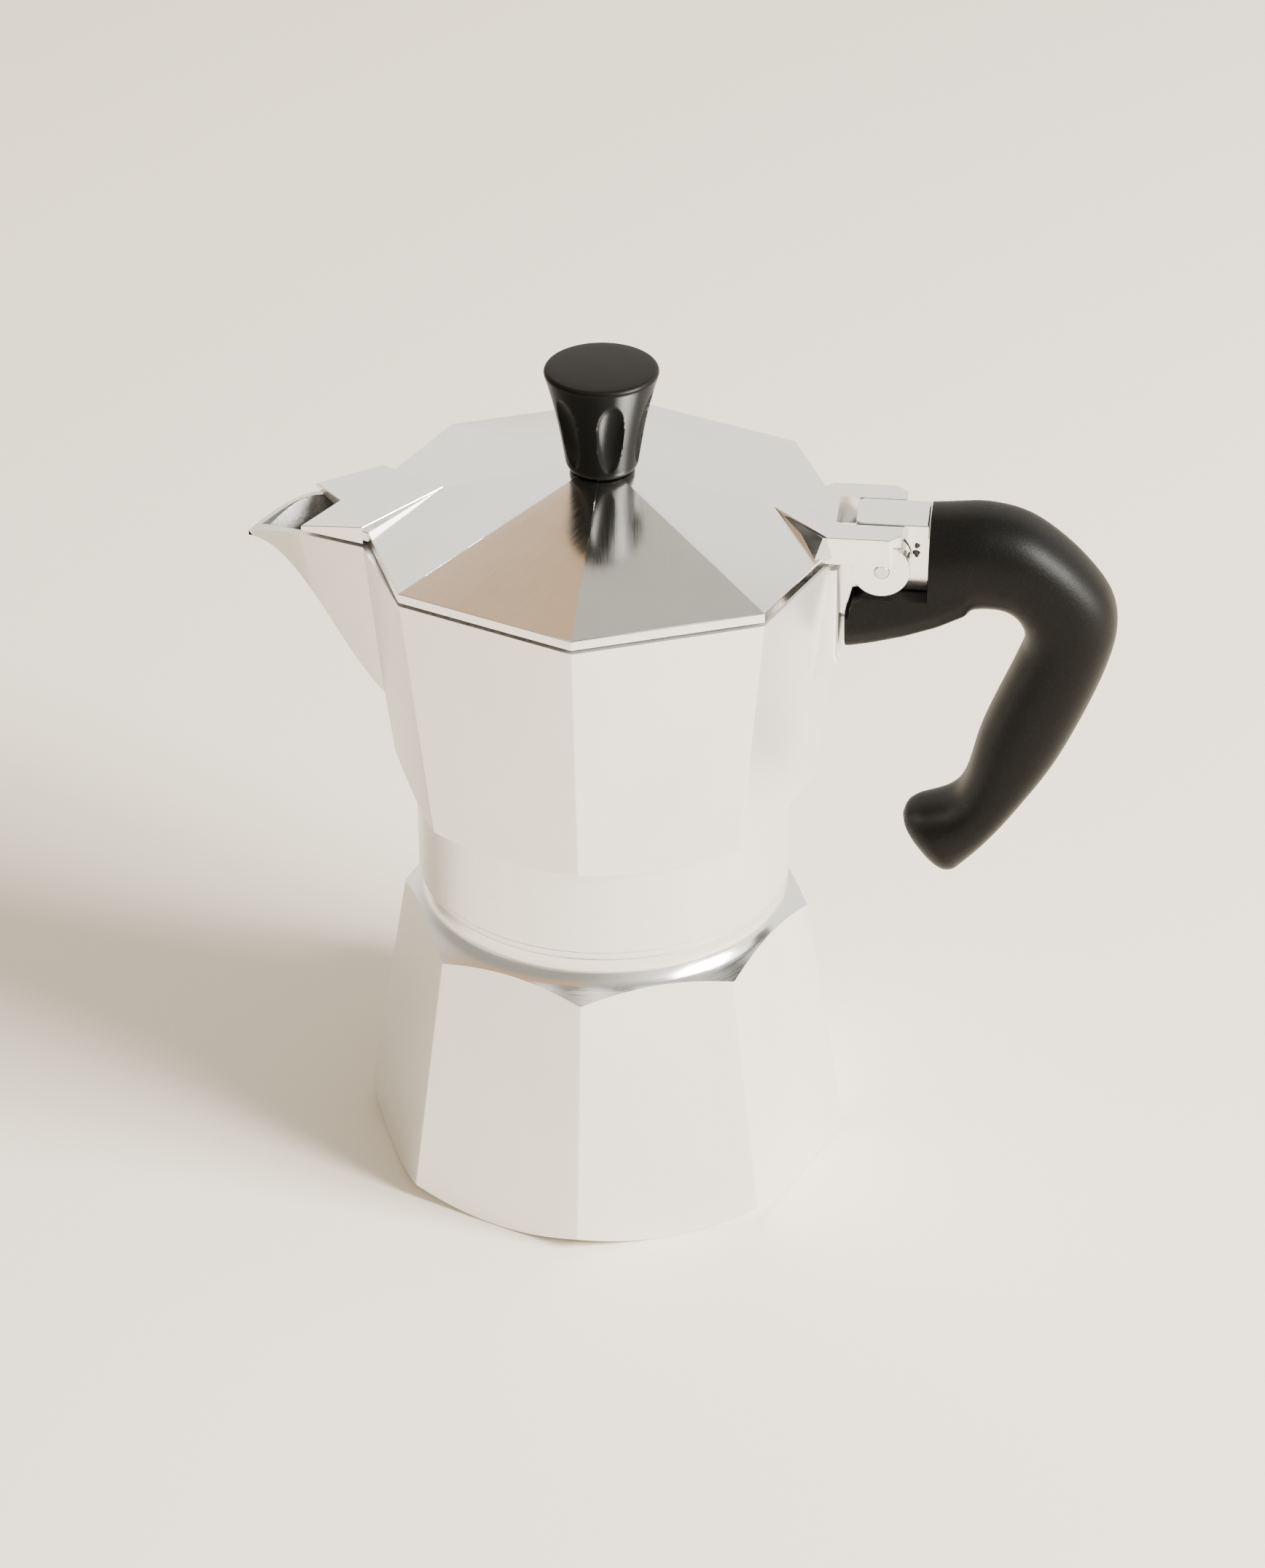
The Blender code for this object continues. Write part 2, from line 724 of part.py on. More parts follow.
def make_spout_channel():
    """The hollow of the spout, open above its lip and back into the chamber."""
    bm, middle, edges = spout_shell(SPOUT_WALL)
    near, far = edges
    above = mouth_z + 0.006
    back = Vector((0.009, 0, 0))
    raised = []
    for edge in edges:
        raised.append([bm.verts.new((v.co.x, v.co.y, above)) for v in edge[SPOUT_STEPS:-1]])
    tip = bm.verts.new((near[-1].co.x, 0, above))
    for edge, row in zip(edges, raised):
        row.append(tip)
        for i in range(len(row) - 1):
            low, high = edge[SPOUT_STEPS + i], edge[SPOUT_STEPS + i + 1]
            bm.faces.new((low, high, row[i + 1], row[i]))
    foot = bm.verts.new(middle[0].co + back)
    shoulders = [bm.verts.new(edge[SPOUT_STEPS].co + back) for edge in edges]
    tops = [bm.verts.new(row[0].co + back) for row in raised]
    for edge, row, shoulder, top in zip(edges, raised, shoulders, tops):
        bm.faces.new([*edge[: SPOUT_STEPS + 1], shoulder, foot])
        bm.faces.new((edge[SPOUT_STEPS], row[0], top, shoulder))
    bm.faces.new((foot, shoulders[0], tops[0], tops[1], shoulders[1]))
    bm.faces.new([*raised[0], *reversed(raised[1][:-1]), tops[1], tops[0]])
    return mesh_object("spout_channel", bm, smooth=False)


# ---------------------------------------------------------------- collector


def make_collector(metal):
    wide = COLLAR_RADIUS / FLAT + 0.003
    body = mesh_object(
        "collector",
        lofted(
            [
                octagon(wide, collar_z - 0.001),
                octagon(COLLECTOR_FOOT_RADIUS, band_z),
                octagon(COLLECTOR_RIM_RADIUS, mouth_z),
            ]
        ),
        metal,
    )
    reach = COLLECTOR_RIM_RADIUS + 0.010
    envelope = [
        (0, collar_z),
        (COLLAR_RADIUS, collar_z),
        (COLLAR_RADIUS, band_z),
        (reach, band_z + UNDERCUT_SLOPE * (reach - COLLAR_RADIUS)),
        (reach, mouth_z + 0.002),
        (0, mouth_z + 0.002),
    ]
    cut(body, turned("collector_turning", envelope, LARGE), "INTERSECT")
    cut(body, make_spout(), "UNION")
    add_lug(body)

    above = mouth_z + 0.02
    wall = COLLECTOR_WALL / FLAT
    inner_floor = collector_radius(floor_z) - wall
    hollow = mesh_object(
        "collector_hollow",
        lofted(
            [
                octagon(inner_floor - 0.003, floor_z),
                octagon(inner_floor, floor_z + 0.0035),
                octagon(COLLECTOR_RIM_RADIUS - wall, mouth_z),
                octagon(COLLECTOR_RIM_RADIUS - wall, above),
            ]
        ),
    )
    cut(body, hollow)
    cut(body, make_spout_channel())

    column = turned(
        "column",
        [
            (0, floor_z - 0.002),
            (COLUMN_FOOT_RADIUS, floor_z - 0.002),
            (COLUMN_FOOT_RADIUS, floor_z + 0.0005),
            (COLUMN_RADIUS + 0.0018, floor_z + 0.006),
            (COLUMN_RADIUS, column_z),
            (0, column_z),
        ],
        MEDIUM,
    )
    cut(body, column, "UNION")
    dome_z = recess_z + DOME_HEIGHT
    underside = [
        (0, collar_z - 0.002),
        (thread_bore, collar_z - 0.002),
        (thread_bore, recess_z),
        (DOME_RADIUS, recess_z),
        (COLUMN_BORE + 0.0025, dome_z),
        (COLUMN_BORE, dome_z + 0.002),
        (COLUMN_BORE, column_z + 0.002),
        (0, column_z + 0.002),
    ]
    cut(body, turned("collector_bore", underside, LARGE))
    add_inner_thread(body)
    bore_lug(body)
    return body


def add_inner_thread(body):
    """Runs half a pitch above the boiler's thread, so that each ridge lies in the other's groove."""
    low = BOILER_HEIGHT + 1.05 * THREAD_PITCH
    turns = THREAD_TURNS - 0.5
    ridge = thread_ridge(
        "collector_thread",
        thread_bore,
        THREAD_DEPTH,
        low,
        low + turns * THREAD_PITCH,
        turns,
        inward=True,
    )
    cut(body, ridge, "UNION")


def add_lug(body):
    """The hinge's web with the handle's tang, and the wedge under it, on the body's corner."""
    inside = COLLECTOR_RIM_RADIUS - 0.006
    top = hinge_z + 0.0002
    web_foot = pin_z - CRADLE_DROP + GAP
    web_low = mouth_z - 0.0125
    tang_top = pin_z + TANG_HEIGHT / 2
    tang_low = pin_z - TANG_HEIGHT / 2
    tang_end = face_x + TANG_LENGTH
    nose_x = pin_x - KNUCKLE_RADIUS
    outline = [
        (inside, web_low),
        (boss_x + 0.0008, web_low),
        (boss_x + 0.0022, web_foot),
        (face_x - GAP, web_foot),
        (face_x - GAP, tang_low),
        (tang_end, tang_low),
        (tang_end, tang_top),
        (face_x - GAP, tang_top),
        (face_x - GAP, top),
    ]
    outline += arc((nose_x + 0.0015, top - 0.0015), 0.0015, 90, 180, 3)
    outline += [(nose_x, mouth_z - 0.0010), (inside, mouth_z - 0.0010)]
    web = mesh_object("lug_web", extruded(outline, -LUG_HALF_WIDTH, LUG_HALF_WIDTH, "Y"), smooth=False)
    cut(body, web, "UNION")

    boss_low = mouth_z - BOSS_DEPTH
    edge_low = collector_radius(boss_low - 0.004)
    boss_top = mouth_z - 0.0016
    side = [
        (inside - 0.002, boss_top),
        (inside - 0.004, boss_low - 0.004),
        (edge_low - 0.002, boss_low - 0.004),
        (edge_low + 0.0012, boss_low),
        (boss_x, boss_low + 0.0012),
        (boss_x, boss_top),
    ]
    boss = mesh_object("lug_boss", extruded(side, -BOSS_HALF_WIDTH, BOSS_HALF_WIDTH, "Y"), smooth=False)
    for way, name in ((-1, "boss_chamfer_near"), (1, "boss_chamfer_far")):
        corner = [
            (boss_x - 0.0012, way * (BOSS_HALF_WIDTH + 0.001)),
            (boss_x + 0.001, way * (BOSS_HALF_WIDTH + 0.001)),
            (boss_x + 0.001, way * (BOSS_HALF_WIDTH - 0.0026)),
        ]
        cut(boss, mesh_object(name, extruded(corner, boss_low - 0.01, mouth_z + 0.001), smooth=False))
    cut(body, boss, "UNION")


def bore_lug(body):
    hole = PIN_RADIUS + PIN_CLEARANCE
    cut(body, cylinder_y("lug_pin_hole", pin_x, pin_z, hole, -0.02, 0.02))
    drill = turned(
        "boss_pin_hole",
        [
            (0, -FOOT_PIN_LENGTH / 2 - GAP),
            (FOOT_PIN_RADIUS + GAP / 2, -FOOT_PIN_LENGTH / 2 - GAP),
            (FOOT_PIN_RADIUS + GAP / 2, FOOT_PIN_LENGTH),
            (0, FOOT_PIN_LENGTH),
        ],
        SMALL,
    )
    place_foot_pin(drill)
    cut(body, drill)


def place_foot_pin(piece):
    piece.matrix_world = Matrix.Translation(
        ((boss_x + foot_x) / 2, 0, pin_z - FOOT_PIN_DROP)
    ) @ Matrix.Rotation(pi / 2, 4, "Y")


def make_column_cap(metal):
    low = column_z + GAP
    high = low + CAP_HEIGHT
    spigot = COLUMN_BORE - GAP
    channel = spigot - 0.0008
    cap = turned(
        "column_cap",
        [
            (channel, low - 0.005),
            (spigot, low - 0.005),
            (spigot, low),
            (CAP_RADIUS, low),
            (CAP_RADIUS, high - 0.0015),
            (CAP_RADIUS - 0.0012, high),
            (0, high),
            (0, high - 0.002),
            (channel, high - 0.0022),
        ],
        SMALL,
        metal,
    )
    width = 0.0030
    outlet = rectangle(-width / 2, width / 2, low + 0.0016, high - 0.0030)
    cut(cap, mesh_object("cap_outlets", extruded(outlet, -0.012, 0.012, "Y"), smooth=False))


# ---------------------------------------------------------------- lid and knob


def make_lid(metal):
    rim = COLLECTOR_RIM_RADIUS
    spare = 0.001
    body = mesh_object(
        "lid",
        lofted(
            [
                octagon(rim, lid_z - spare),
                octagon(rim, lid_z + LID_RIM),
                octagon(KNOB_SEAT_RADIUS, seat_z),
            ]
        ),
        metal,
        smooth=False,
    )
    cut(body, make_spout_cover(spare), "UNION")
    cut(body, make_hinge_plate(spare), "UNION")
    skim = 2 * rim
    square = rectangle(-skim, skim, -skim, skim)
    cut(body, mesh_object("lid_facing", extruded(square, lid_z - 3 * spare, lid_z), smooth=False))
    inner = rim - LID_WALL * 1.4
    slot_x = pin_x - SLOT_REACH
    root_x = slot_x - LID_WALL
    hollow = mesh_object(
        "lid_hollow",
        lofted(
            [
                octagon(inner + 0.0001, lid_z - 0.002),
                octagon(inner, lid_z + LID_RIM * 0.55),
                octagon(KNOB_SEAT_RADIUS + 0.002, seat_z - LID_WALL - 0.0003),
            ]
        ),
        smooth=False,
    )
    root = rectangle(root_x, root_x + skim, -skim, skim)
    cut(hollow, mesh_object("hinge_root", extruded(root, lid_z - 3 * spare, apex_z), smooth=False))
    cut(body, hollow)
    slot = LUG_HALF_WIDTH + LUG_CLEARANCE
    end = pin_x + ARM_REACH + spare
    opening = rectangle(slot_x, end, -slot, slot)
    cut(body, mesh_object("hinge_slot", extruded(opening, lid_z - 3 * spare, hinge_z + spare), smooth=False))
    add_knuckles(body)
    hole = turned(
        "knob_screw_hole",
        [
            (0, seat_z - 0.01),
            (SCREW_RADIUS + GAP, seat_z - 0.01),
            (SCREW_RADIUS + GAP, seat_z + 0.01),
            (0, seat_z + 0.01),
        ],
        SMALL,
    )
    cut(body, hole)
    hole = PIN_RADIUS + PIN_CLEARANCE
    cut(body, cylinder_y("lid_pin_hole", pin_x, pin_z, hole, -0.02, 0.02))
    return body


def add_knuckles(body):
    outer = HINGE_HALF_WIDTH - KNUCKLE_INSET
    inner = LUG_HALF_WIDTH + LUG_CLEARANCE + 0.0001
    for way, name in ((-1, "knuckle_near"), (1, "knuckle_far")):
        low, high = sorted((way * inner, way * outer))
        knuckle = cylinder_y(name, pin_x - 0.0002, pin_z + 0.0003, KNUCKLE_RADIUS, low, high, MEDIUM)
        cut(body, knuckle, "UNION")


def make_spout_cover(spare):
    """A flat tongue that carries the roof's ridge on over the spout, notched at its end."""
    rim = COLLECTOR_RIM_RADIUS
    start_z = lid_z + LID_RIM + LID_RISE * (1 - COVER_START / rim) + 0.00004
    wide_x = rim - SPOUT_SHOULDER
    end_x = rim + SPOUT_MOUTH_REACH
    outline = [
        (COVER_START, 0.0),
        (wide_x, SPOUT_HALF_WIDTH),
        (end_x, SPOUT_MOUTH_HALF_WIDTH),
        (end_x - COVER_NOTCH, 0.0),
    ]
    outline += [(x, -y) for x, y in reversed(outline[1:3])]
    rings = [
        [(-x, y, lid_z - spare) for x, y in outline],
        [(-x, y, start_z - COVER_FALL * (x - COVER_START)) for x, y in outline],
    ]
    return mesh_object("spout_cover", lofted(rings), smooth=False)


def make_hinge_plate(spare):
    """A flat plate that grows out of the roof. The slot makes two arms of its end."""
    half = HINGE_HALF_WIDTH
    end = pin_x + ARM_REACH
    inner = COLLECTOR_RIM_RADIUS - 0.0043
    chamfer = 0.0022
    start = COLLECTOR_RIM_RADIUS * 0.68
    plan = [
        (start, 0),
        (inner, -half),
        (end - chamfer, -half),
        (end, -half + chamfer),
    ]
    plan += [(x, -y) for x, y in reversed(plan[1:])]
    plate = mesh_object("hinge_plate", extruded(plan, lid_z - spare, hinge_z), smooth=False)
    low = lid_z + LID_RIM - 0.0006
    high = hinge_z - 0.0003
    cheek_x = COLLECTOR_RIM_RADIUS - 0.0067
    foot = [(start, -0.001), (cheek_x, -half - 0.003), (inner + 0.001, -half)]
    brow = [(start + 0.001, -0.0005), (inner - 0.0008, -half + 0.0002), (inner, -half + 0.0002)]
    rings = []
    for side, z in ((foot, low), (brow, high)):
        both = side + [(x, -y) for x, y in reversed(side)]
        rings.append([(x, y, z) for x, y in both])
    cheeks = mesh_object("hinge_cheeks", lofted(rings), smooth=False)
    cut(plate, cheeks, "UNION")
    return plate


def knob_outline(t):
    """Radius of the knob at a share of its height."""
    flare = 0.7 * t + 0.3 * t**2.6
    return KNOB_FOOT_RADIUS + (KNOB_TOP_RADIUS - KNOB_FOOT_RADIUS) * flare


def flute(t, angle):
    """Depth of the nearest oval flute, at a share of the knob's height and an angle round it."""
    pitch = 2 * pi / FLUTES
    off = (angle - radians(FLUTE_PHASE) + pitch / 2) % pitch - pitch / 2
    across = off / radians(FLUTE_HALF_TURN)
    along = (t - FLUTE_MIDDLE) / FLUTE_HALF_LENGTH
    return FLUTE_DEPTH * max(0.0, 1 - across**2 - along**2) ** 0.6


def make_knob(black, brass, steel):
    low = seat_z + GAP
    crown = 0.0008
    steps = 12
    sides = 48
    socket = INSERT_RADIUS + GAP
    depth = INSERT_LENGTH + GAP
    foot = KNOB_FOOT_RADIUS
    rows = [(socket, low, -1), (foot - KNOB_FOOT_CHAMFER, low, -1), (foot, low + KNOB_FOOT_CHAMFER, -1)]
    for i in range(1, steps + 1):
        t = i / steps
        z = low + (KNOB_HEIGHT - crown) * t
        rows.append((knob_outline(t), z, t))
    rows.append((KNOB_TOP_RADIUS * 0.55, low + KNOB_HEIGHT - crown * 0.3, -1))
    bm = bmesh.new()
    rings = []
    for radius, z, t in rows:
        ring = []
        for k in range(sides):
            angle = 2 * pi * k / sides
            r = radius - flute(t, angle)
            ring.append(bm.verts.new((r * cos(angle), r * sin(angle), z)))
        rings.append(ring)
    for lower, upper in zip(rings, rings[1:]):
        for k in range(sides):
            j = (k + 1) % sides
            bm.faces.new((lower[k], lower[j], upper[j], upper[k]))
    crown_point = bm.verts.new((0, 0, low + KNOB_HEIGHT))
    roof = bm.verts.new((0, 0, low + depth))
    ceiling = [
        bm.verts.new((socket * cos(2 * pi * k / sides), socket * sin(2 * pi * k / sides), low + depth))
        for k in range(sides)
    ]
    for k in range(sides):
        j = (k + 1) % sides
        bm.faces.new((rings[-1][k], rings[-1][j], crown_point))
        bm.faces.new((rings[0][j], rings[0][k], ceiling[k], ceiling[j]))
        bm.faces.new((ceiling[j], ceiling[k], roof))
    mesh_object("knob", bm, black)

    bore = SCREW_RADIUS + GAP
    insert_low = low + GAP
    turned(
        "knob_insert",
        [
            (INSERT_RADIUS, insert_low + INSERT_LENGTH - 2 * GAP),
            (INSERT_RADIUS, insert_low),
            (bore, insert_low),
            (bore, insert_low + INSERT_LENGTH - 2 * GAP),
        ],
        SMALL,
        brass,
    )
    lid_inside = seat_z - LID_WALL - 0.0003
    washer_high = lid_inside - GAP
    washer_low = washer_high - WASHER_THICKNESS
    turned(
        "knob_washer",
        [
            (WASHER_RADIUS, washer_high),
            (WASHER_RADIUS, washer_low),
            (bore, washer_low),
            (bore, washer_high),
        ],
        SMALL,
        steel,
    )
    head_high = washer_low - GAP
    head_low = head_high - SCREW_HEAD_HEIGHT
    screw_top = low + INSERT_LENGTH - 0.0015
    screw = turned(
        "knob_screw",
        [
            (0, screw_top),
            (SCREW_RADIUS, screw_top),
            (SCREW_RADIUS, head_high),
            (SCREW_HEAD_RADIUS, head_high),
            (SCREW_HEAD_RADIUS * 0.9, head_low + 0.0006),
            (SCREW_HEAD_RADIUS * 0.6, head_low),
            (0, head_low),
        ],
        SMALL,
        steel,
    )
    slot = 0.0005
    blade = extruded(rectangle(-0.006, 0.006, -slot, slot), head_low - 0.001, head_low + 0.0009)
    cut(screw, mesh_object("screw_slot", blade, smooth=False))


# ---------------------------------------------------------------- hinge pin, handle and its pin


def make_hinge_pin(steel):
    half = HINGE_HALF_WIDTH - 0.0002
    cylinder_y("hinge_pin", pin_x, pin_z, PIN_RADIUS, -half, half, SMALL, steel)


# Matched points on the handle's outer and inner side, each (x, z) from the hinge pin, and half its
# width between them. Smooth curves run through them from the upper face to the tail.
HANDLE_RAILS = (
    ((0.0042, 0.0078), (0.0042, -0.0166), 0.0093),
    ((0.0110, 0.0082), (0.0110, -0.0125), 0.0093),
    ((0.0193, 0.0086), (0.0176, -0.0106), 0.0093),
    ((0.0278, 0.0060), (0.0226, -0.0109), 0.0093),
    ((0.0372, -0.0018), (0.0254, -0.0137), 0.0092),
    ((0.0430, -0.0107), (0.0262, -0.0177), 0.0091),
    ((0.0417, -0.0217), (0.0247, -0.0226), 0.0089),
    ((0.0343, -0.0406), (0.0191, -0.0370), 0.0087),
    ((0.0268, -0.0530), (0.0162, -0.0484), 0.0086),
    ((0.0208, -0.0613), (0.0132, -0.0529), 0.0085),
    ((0.0154, -0.0676), (0.0072, -0.0549), 0.0081),
)
HANDLE_TAIL = (
    ((0.0139, -0.0683), (0.0054, -0.0559), 0.0070),
    ((0.0122, -0.0677), (0.0047, -0.0578), 0.0052),
    ((0.0098, -0.0655), (0.0056, -0.0602), 0.0022),
)


def smooth_rails(knots, steps):
    """Catmull-Rom curves through the matched points."""
    flat = [(*outer, *inner, width) for outer, inner, width in knots]
    padded = [flat[0], *flat, flat[-1]]
    rows = []
    for i in range(len(flat) - 1):
        for k in range(steps):
            t = k / steps
            row = []
            for p, q, r, s in zip(*padded[i : i + 4]):
                bend = 2 * p - 5 * q + 4 * r - s
                twist = 3 * q - p - 3 * r + s
                row.append(0.5 * (2 * q + (r - p) * t + bend * t**2 + twist * t**3))
            rows.append(row)
    rows.append(list(flat[-1]))
    return [((row[0], row[1]), (row[2], row[3]), row[4]) for row in rows]


def handle_ring(outer, inner, width, count):
    """A rounded section between a point on the outer side and one on the inner side."""
    ring = []
    for k in range(count):
        angle = 2 * pi * k / count
        c, s = cos(angle), sin(angle)
        power = 2 / 2.4
        across = width * abs(s) ** power * (1 if s > 0 else -1)
        share = 0.5 + 0.5 * abs(c) ** power * (1 if c > 0 else -1)
        x, z = (n + (o - n) * share for o, n in zip(outer, inner))
        ring.append((pin_x + x, across, pin_z + z))
    return ring


def make_handle(black):
    stations = smooth_rails(HANDLE_RAILS, 2) + list(HANDLE_TAIL)
    handle = mesh_object("handle", lofted([handle_ring(*station, 16) for station in stations]), black)
    cut(handle, make_handle_foot(), "UNION")

    cradle_z = pin_z - CRADLE_DROP
    far = pin_x - 0.03
    up = pin_z + 0.03
    cradle = [
        (foot_x - GAP * 2, cradle_z - 0.0048),
        (foot_x + 0.0006, cradle_z - 0.0048),
        (foot_x + 0.0014, cradle_z - 0.0016),
        (foot_x + 0.0034, cradle_z),
        (face_x, cradle_z),
        (face_x, up),
        (far, up),
        (far, cradle_z - 0.0048),
    ]
    cut(handle, mesh_object("handle_cradle", extruded(cradle, -0.02, 0.02, "Y"), smooth=False))

    room = TANG_CLEARANCE
    reach = TANG_HEIGHT / 2 + room
    pocket = rectangle(face_x - 0.003, face_x + TANG_LENGTH + room, pin_z - reach, pin_z + reach)
    half = LUG_HALF_WIDTH + room
    cut(handle, mesh_object("tang_pocket", extruded(pocket, -half, half, "Y"), smooth=False))

    hole = turned(
        "foot_pin_hole",
        [
            (0, -FOOT_PIN_LENGTH),
            (FOOT_PIN_RADIUS + GAP / 2, -FOOT_PIN_LENGTH),
            (FOOT_PIN_RADIUS + GAP / 2, FOOT_PIN_LENGTH / 2 + GAP),
            (0, FOOT_PIN_LENGTH / 2 + GAP),
        ],
        SMALL,
    )
    place_foot_pin(hole)
    cut(handle, hole)
    return handle


def make_handle_foot():
    """The arm that reaches under the hinge and ends against the boss on the body."""
    half = HANDLE_HALF_WIDTH
    top = pin_z - CRADLE_DROP + 0.004
    sections = (
        (foot_x, -0.0193, 0.0084, -0.0060),
        (foot_x + 0.0050, -0.0181, half - 0.0005, top - pin_z),
        (foot_x + 0.0110, -0.0163, half - 0.0002, top - pin_z),
        (foot_x + 0.0170, -0.0140, half - 0.0001, top - pin_z),
        (foot_x + 0.0225, -0.0112, half - 0.0003, top - pin_z),
    )
    rings = []
    for x, low, width, high in sections:
        ring = [
            (x, -width * 0.50, pin_z + low),
            (x, -width * 0.86, pin_z + low + 0.0016),
            (x, -width, pin_z + low + 0.0048),
            (x, -width, pin_z + high),
        ]
        ring += [(a, -b, c) for a, b, c in reversed(ring)]
        rings.append(ring)
    return mesh_object("handle_foot", lofted(rings))


def make_foot_pin(steel):
    half = FOOT_PIN_LENGTH / 2
    pin = turned(
        "handle_pin",
        [(0, -half), (FOOT_PIN_RADIUS, -half), (FOOT_PIN_RADIUS, half), (0, half)],
        SMALL,
        steel,
    )
    place_foot_pin(pin)


# ---------------------------------------------------------------- the pot


def main():
    for old in list(bpy.data.objects):
        bpy.data.objects.remove(old, do_unlink=True)
    satin = finish_material("satin_aluminium", (0.80, 0.79, 0.77), 0.32, 1)
    bright = finish_material("polished_aluminium", (0.88, 0.87, 0.85), 0.12, 1)
    sheet = finish_material("pressed_aluminium", (0.75, 0.75, 0.74), 0.38, 1)
    brass = finish_material("brass", (0.75, 0.58, 0.28), 0.28, 1)
    steel = finish_material("steel", (0.70, 0.70, 0.70), 0.25, 1)
    black = finish_material("black_handle", (0.018, 0.018, 0.018), 0.55, 0)
    gloss = finish_material("black_knob", (0.012, 0.012, 0.012), 0.28, 0)
    rubber = finish_material("white_silicone", (0.78, 0.77, 0.74), 0.6, 0)
    fibre = finish_material("fibre_washer", (0.45, 0.12, 0.08), 0.7, 0)

    boiler = make_boiler(satin)
    make_valve(boiler, brass, steel, fibre, rubber)
    make_funnel(sheet)
    make_seal(rubber, sheet)
    make_collector(satin)
    make_column_cap(sheet)
    make_lid(bright)
    make_knob(gloss, brass, steel)
    make_hinge_pin(steel)
    make_handle(black)
    make_foot_pin(steel)


main()
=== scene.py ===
# %% [markdown]
# # An eight-sided stove-top coffee pot, finished in Blender
#
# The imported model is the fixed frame: it says where each body is, and how it moves. This notebook
# loads it, and then makes the pieces that are seen, one after another: the boiler, the safety
# valve, the collector with its spout and hinge lug, the lid, the knob and the handle. Lengths are
# in metres. +Z is up, +X runs to the handle, and -X to the spout.

# %% Load the frame
from math import atan2, cos, pi, radians, sin

import bmesh
import bpy
from mathutils import Matrix, Vector


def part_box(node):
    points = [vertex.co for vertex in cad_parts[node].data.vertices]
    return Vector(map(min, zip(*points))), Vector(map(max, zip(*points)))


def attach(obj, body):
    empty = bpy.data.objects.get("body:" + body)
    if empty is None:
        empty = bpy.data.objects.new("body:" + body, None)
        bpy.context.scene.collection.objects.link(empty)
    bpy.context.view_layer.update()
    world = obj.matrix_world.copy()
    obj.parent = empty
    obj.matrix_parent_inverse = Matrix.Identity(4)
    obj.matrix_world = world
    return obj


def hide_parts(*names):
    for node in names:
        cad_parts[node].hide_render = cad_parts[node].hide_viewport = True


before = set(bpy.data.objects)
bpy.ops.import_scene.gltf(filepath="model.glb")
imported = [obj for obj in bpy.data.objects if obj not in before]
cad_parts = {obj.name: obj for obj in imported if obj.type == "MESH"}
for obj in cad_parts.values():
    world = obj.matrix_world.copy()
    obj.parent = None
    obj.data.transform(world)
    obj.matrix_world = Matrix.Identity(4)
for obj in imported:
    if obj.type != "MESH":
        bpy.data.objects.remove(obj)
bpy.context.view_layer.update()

# %% [markdown]
# ## Maths on sockets
#
# A finish is a small calculation: how far along the flat am I, which groove is this, how worn is
# the edge. Written as nodes such a sum is hard to read. A socket that is wrapped in a class with
# the usual operators lets the sum stand as one line, and each operator adds its own Math node.

# %% A socket that takes part in sums
class Socket:
    """The output of a node. A sum or a product adds the Math node that works it out."""

    def __init__(self, finish, link):
        self.finish = finish
        self.link = link

    def math(self, operation, *values):
        return self.finish.node("ShaderNodeMath", {"operation": operation}, dict(enumerate(values)))

    def __add__(self, other):
        return self.math("ADD", self, other)

    __radd__ = __add__

    def __sub__(self, other):
        return self.math("SUBTRACT", self, other)

    def __mul__(self, other):
        return self.math("MULTIPLY", self, other)

    def __truediv__(self, other):
        return self.math("DIVIDE", self, other)

    def __gt__(self, other):
        return self.math("GREATER_THAN", self, other)


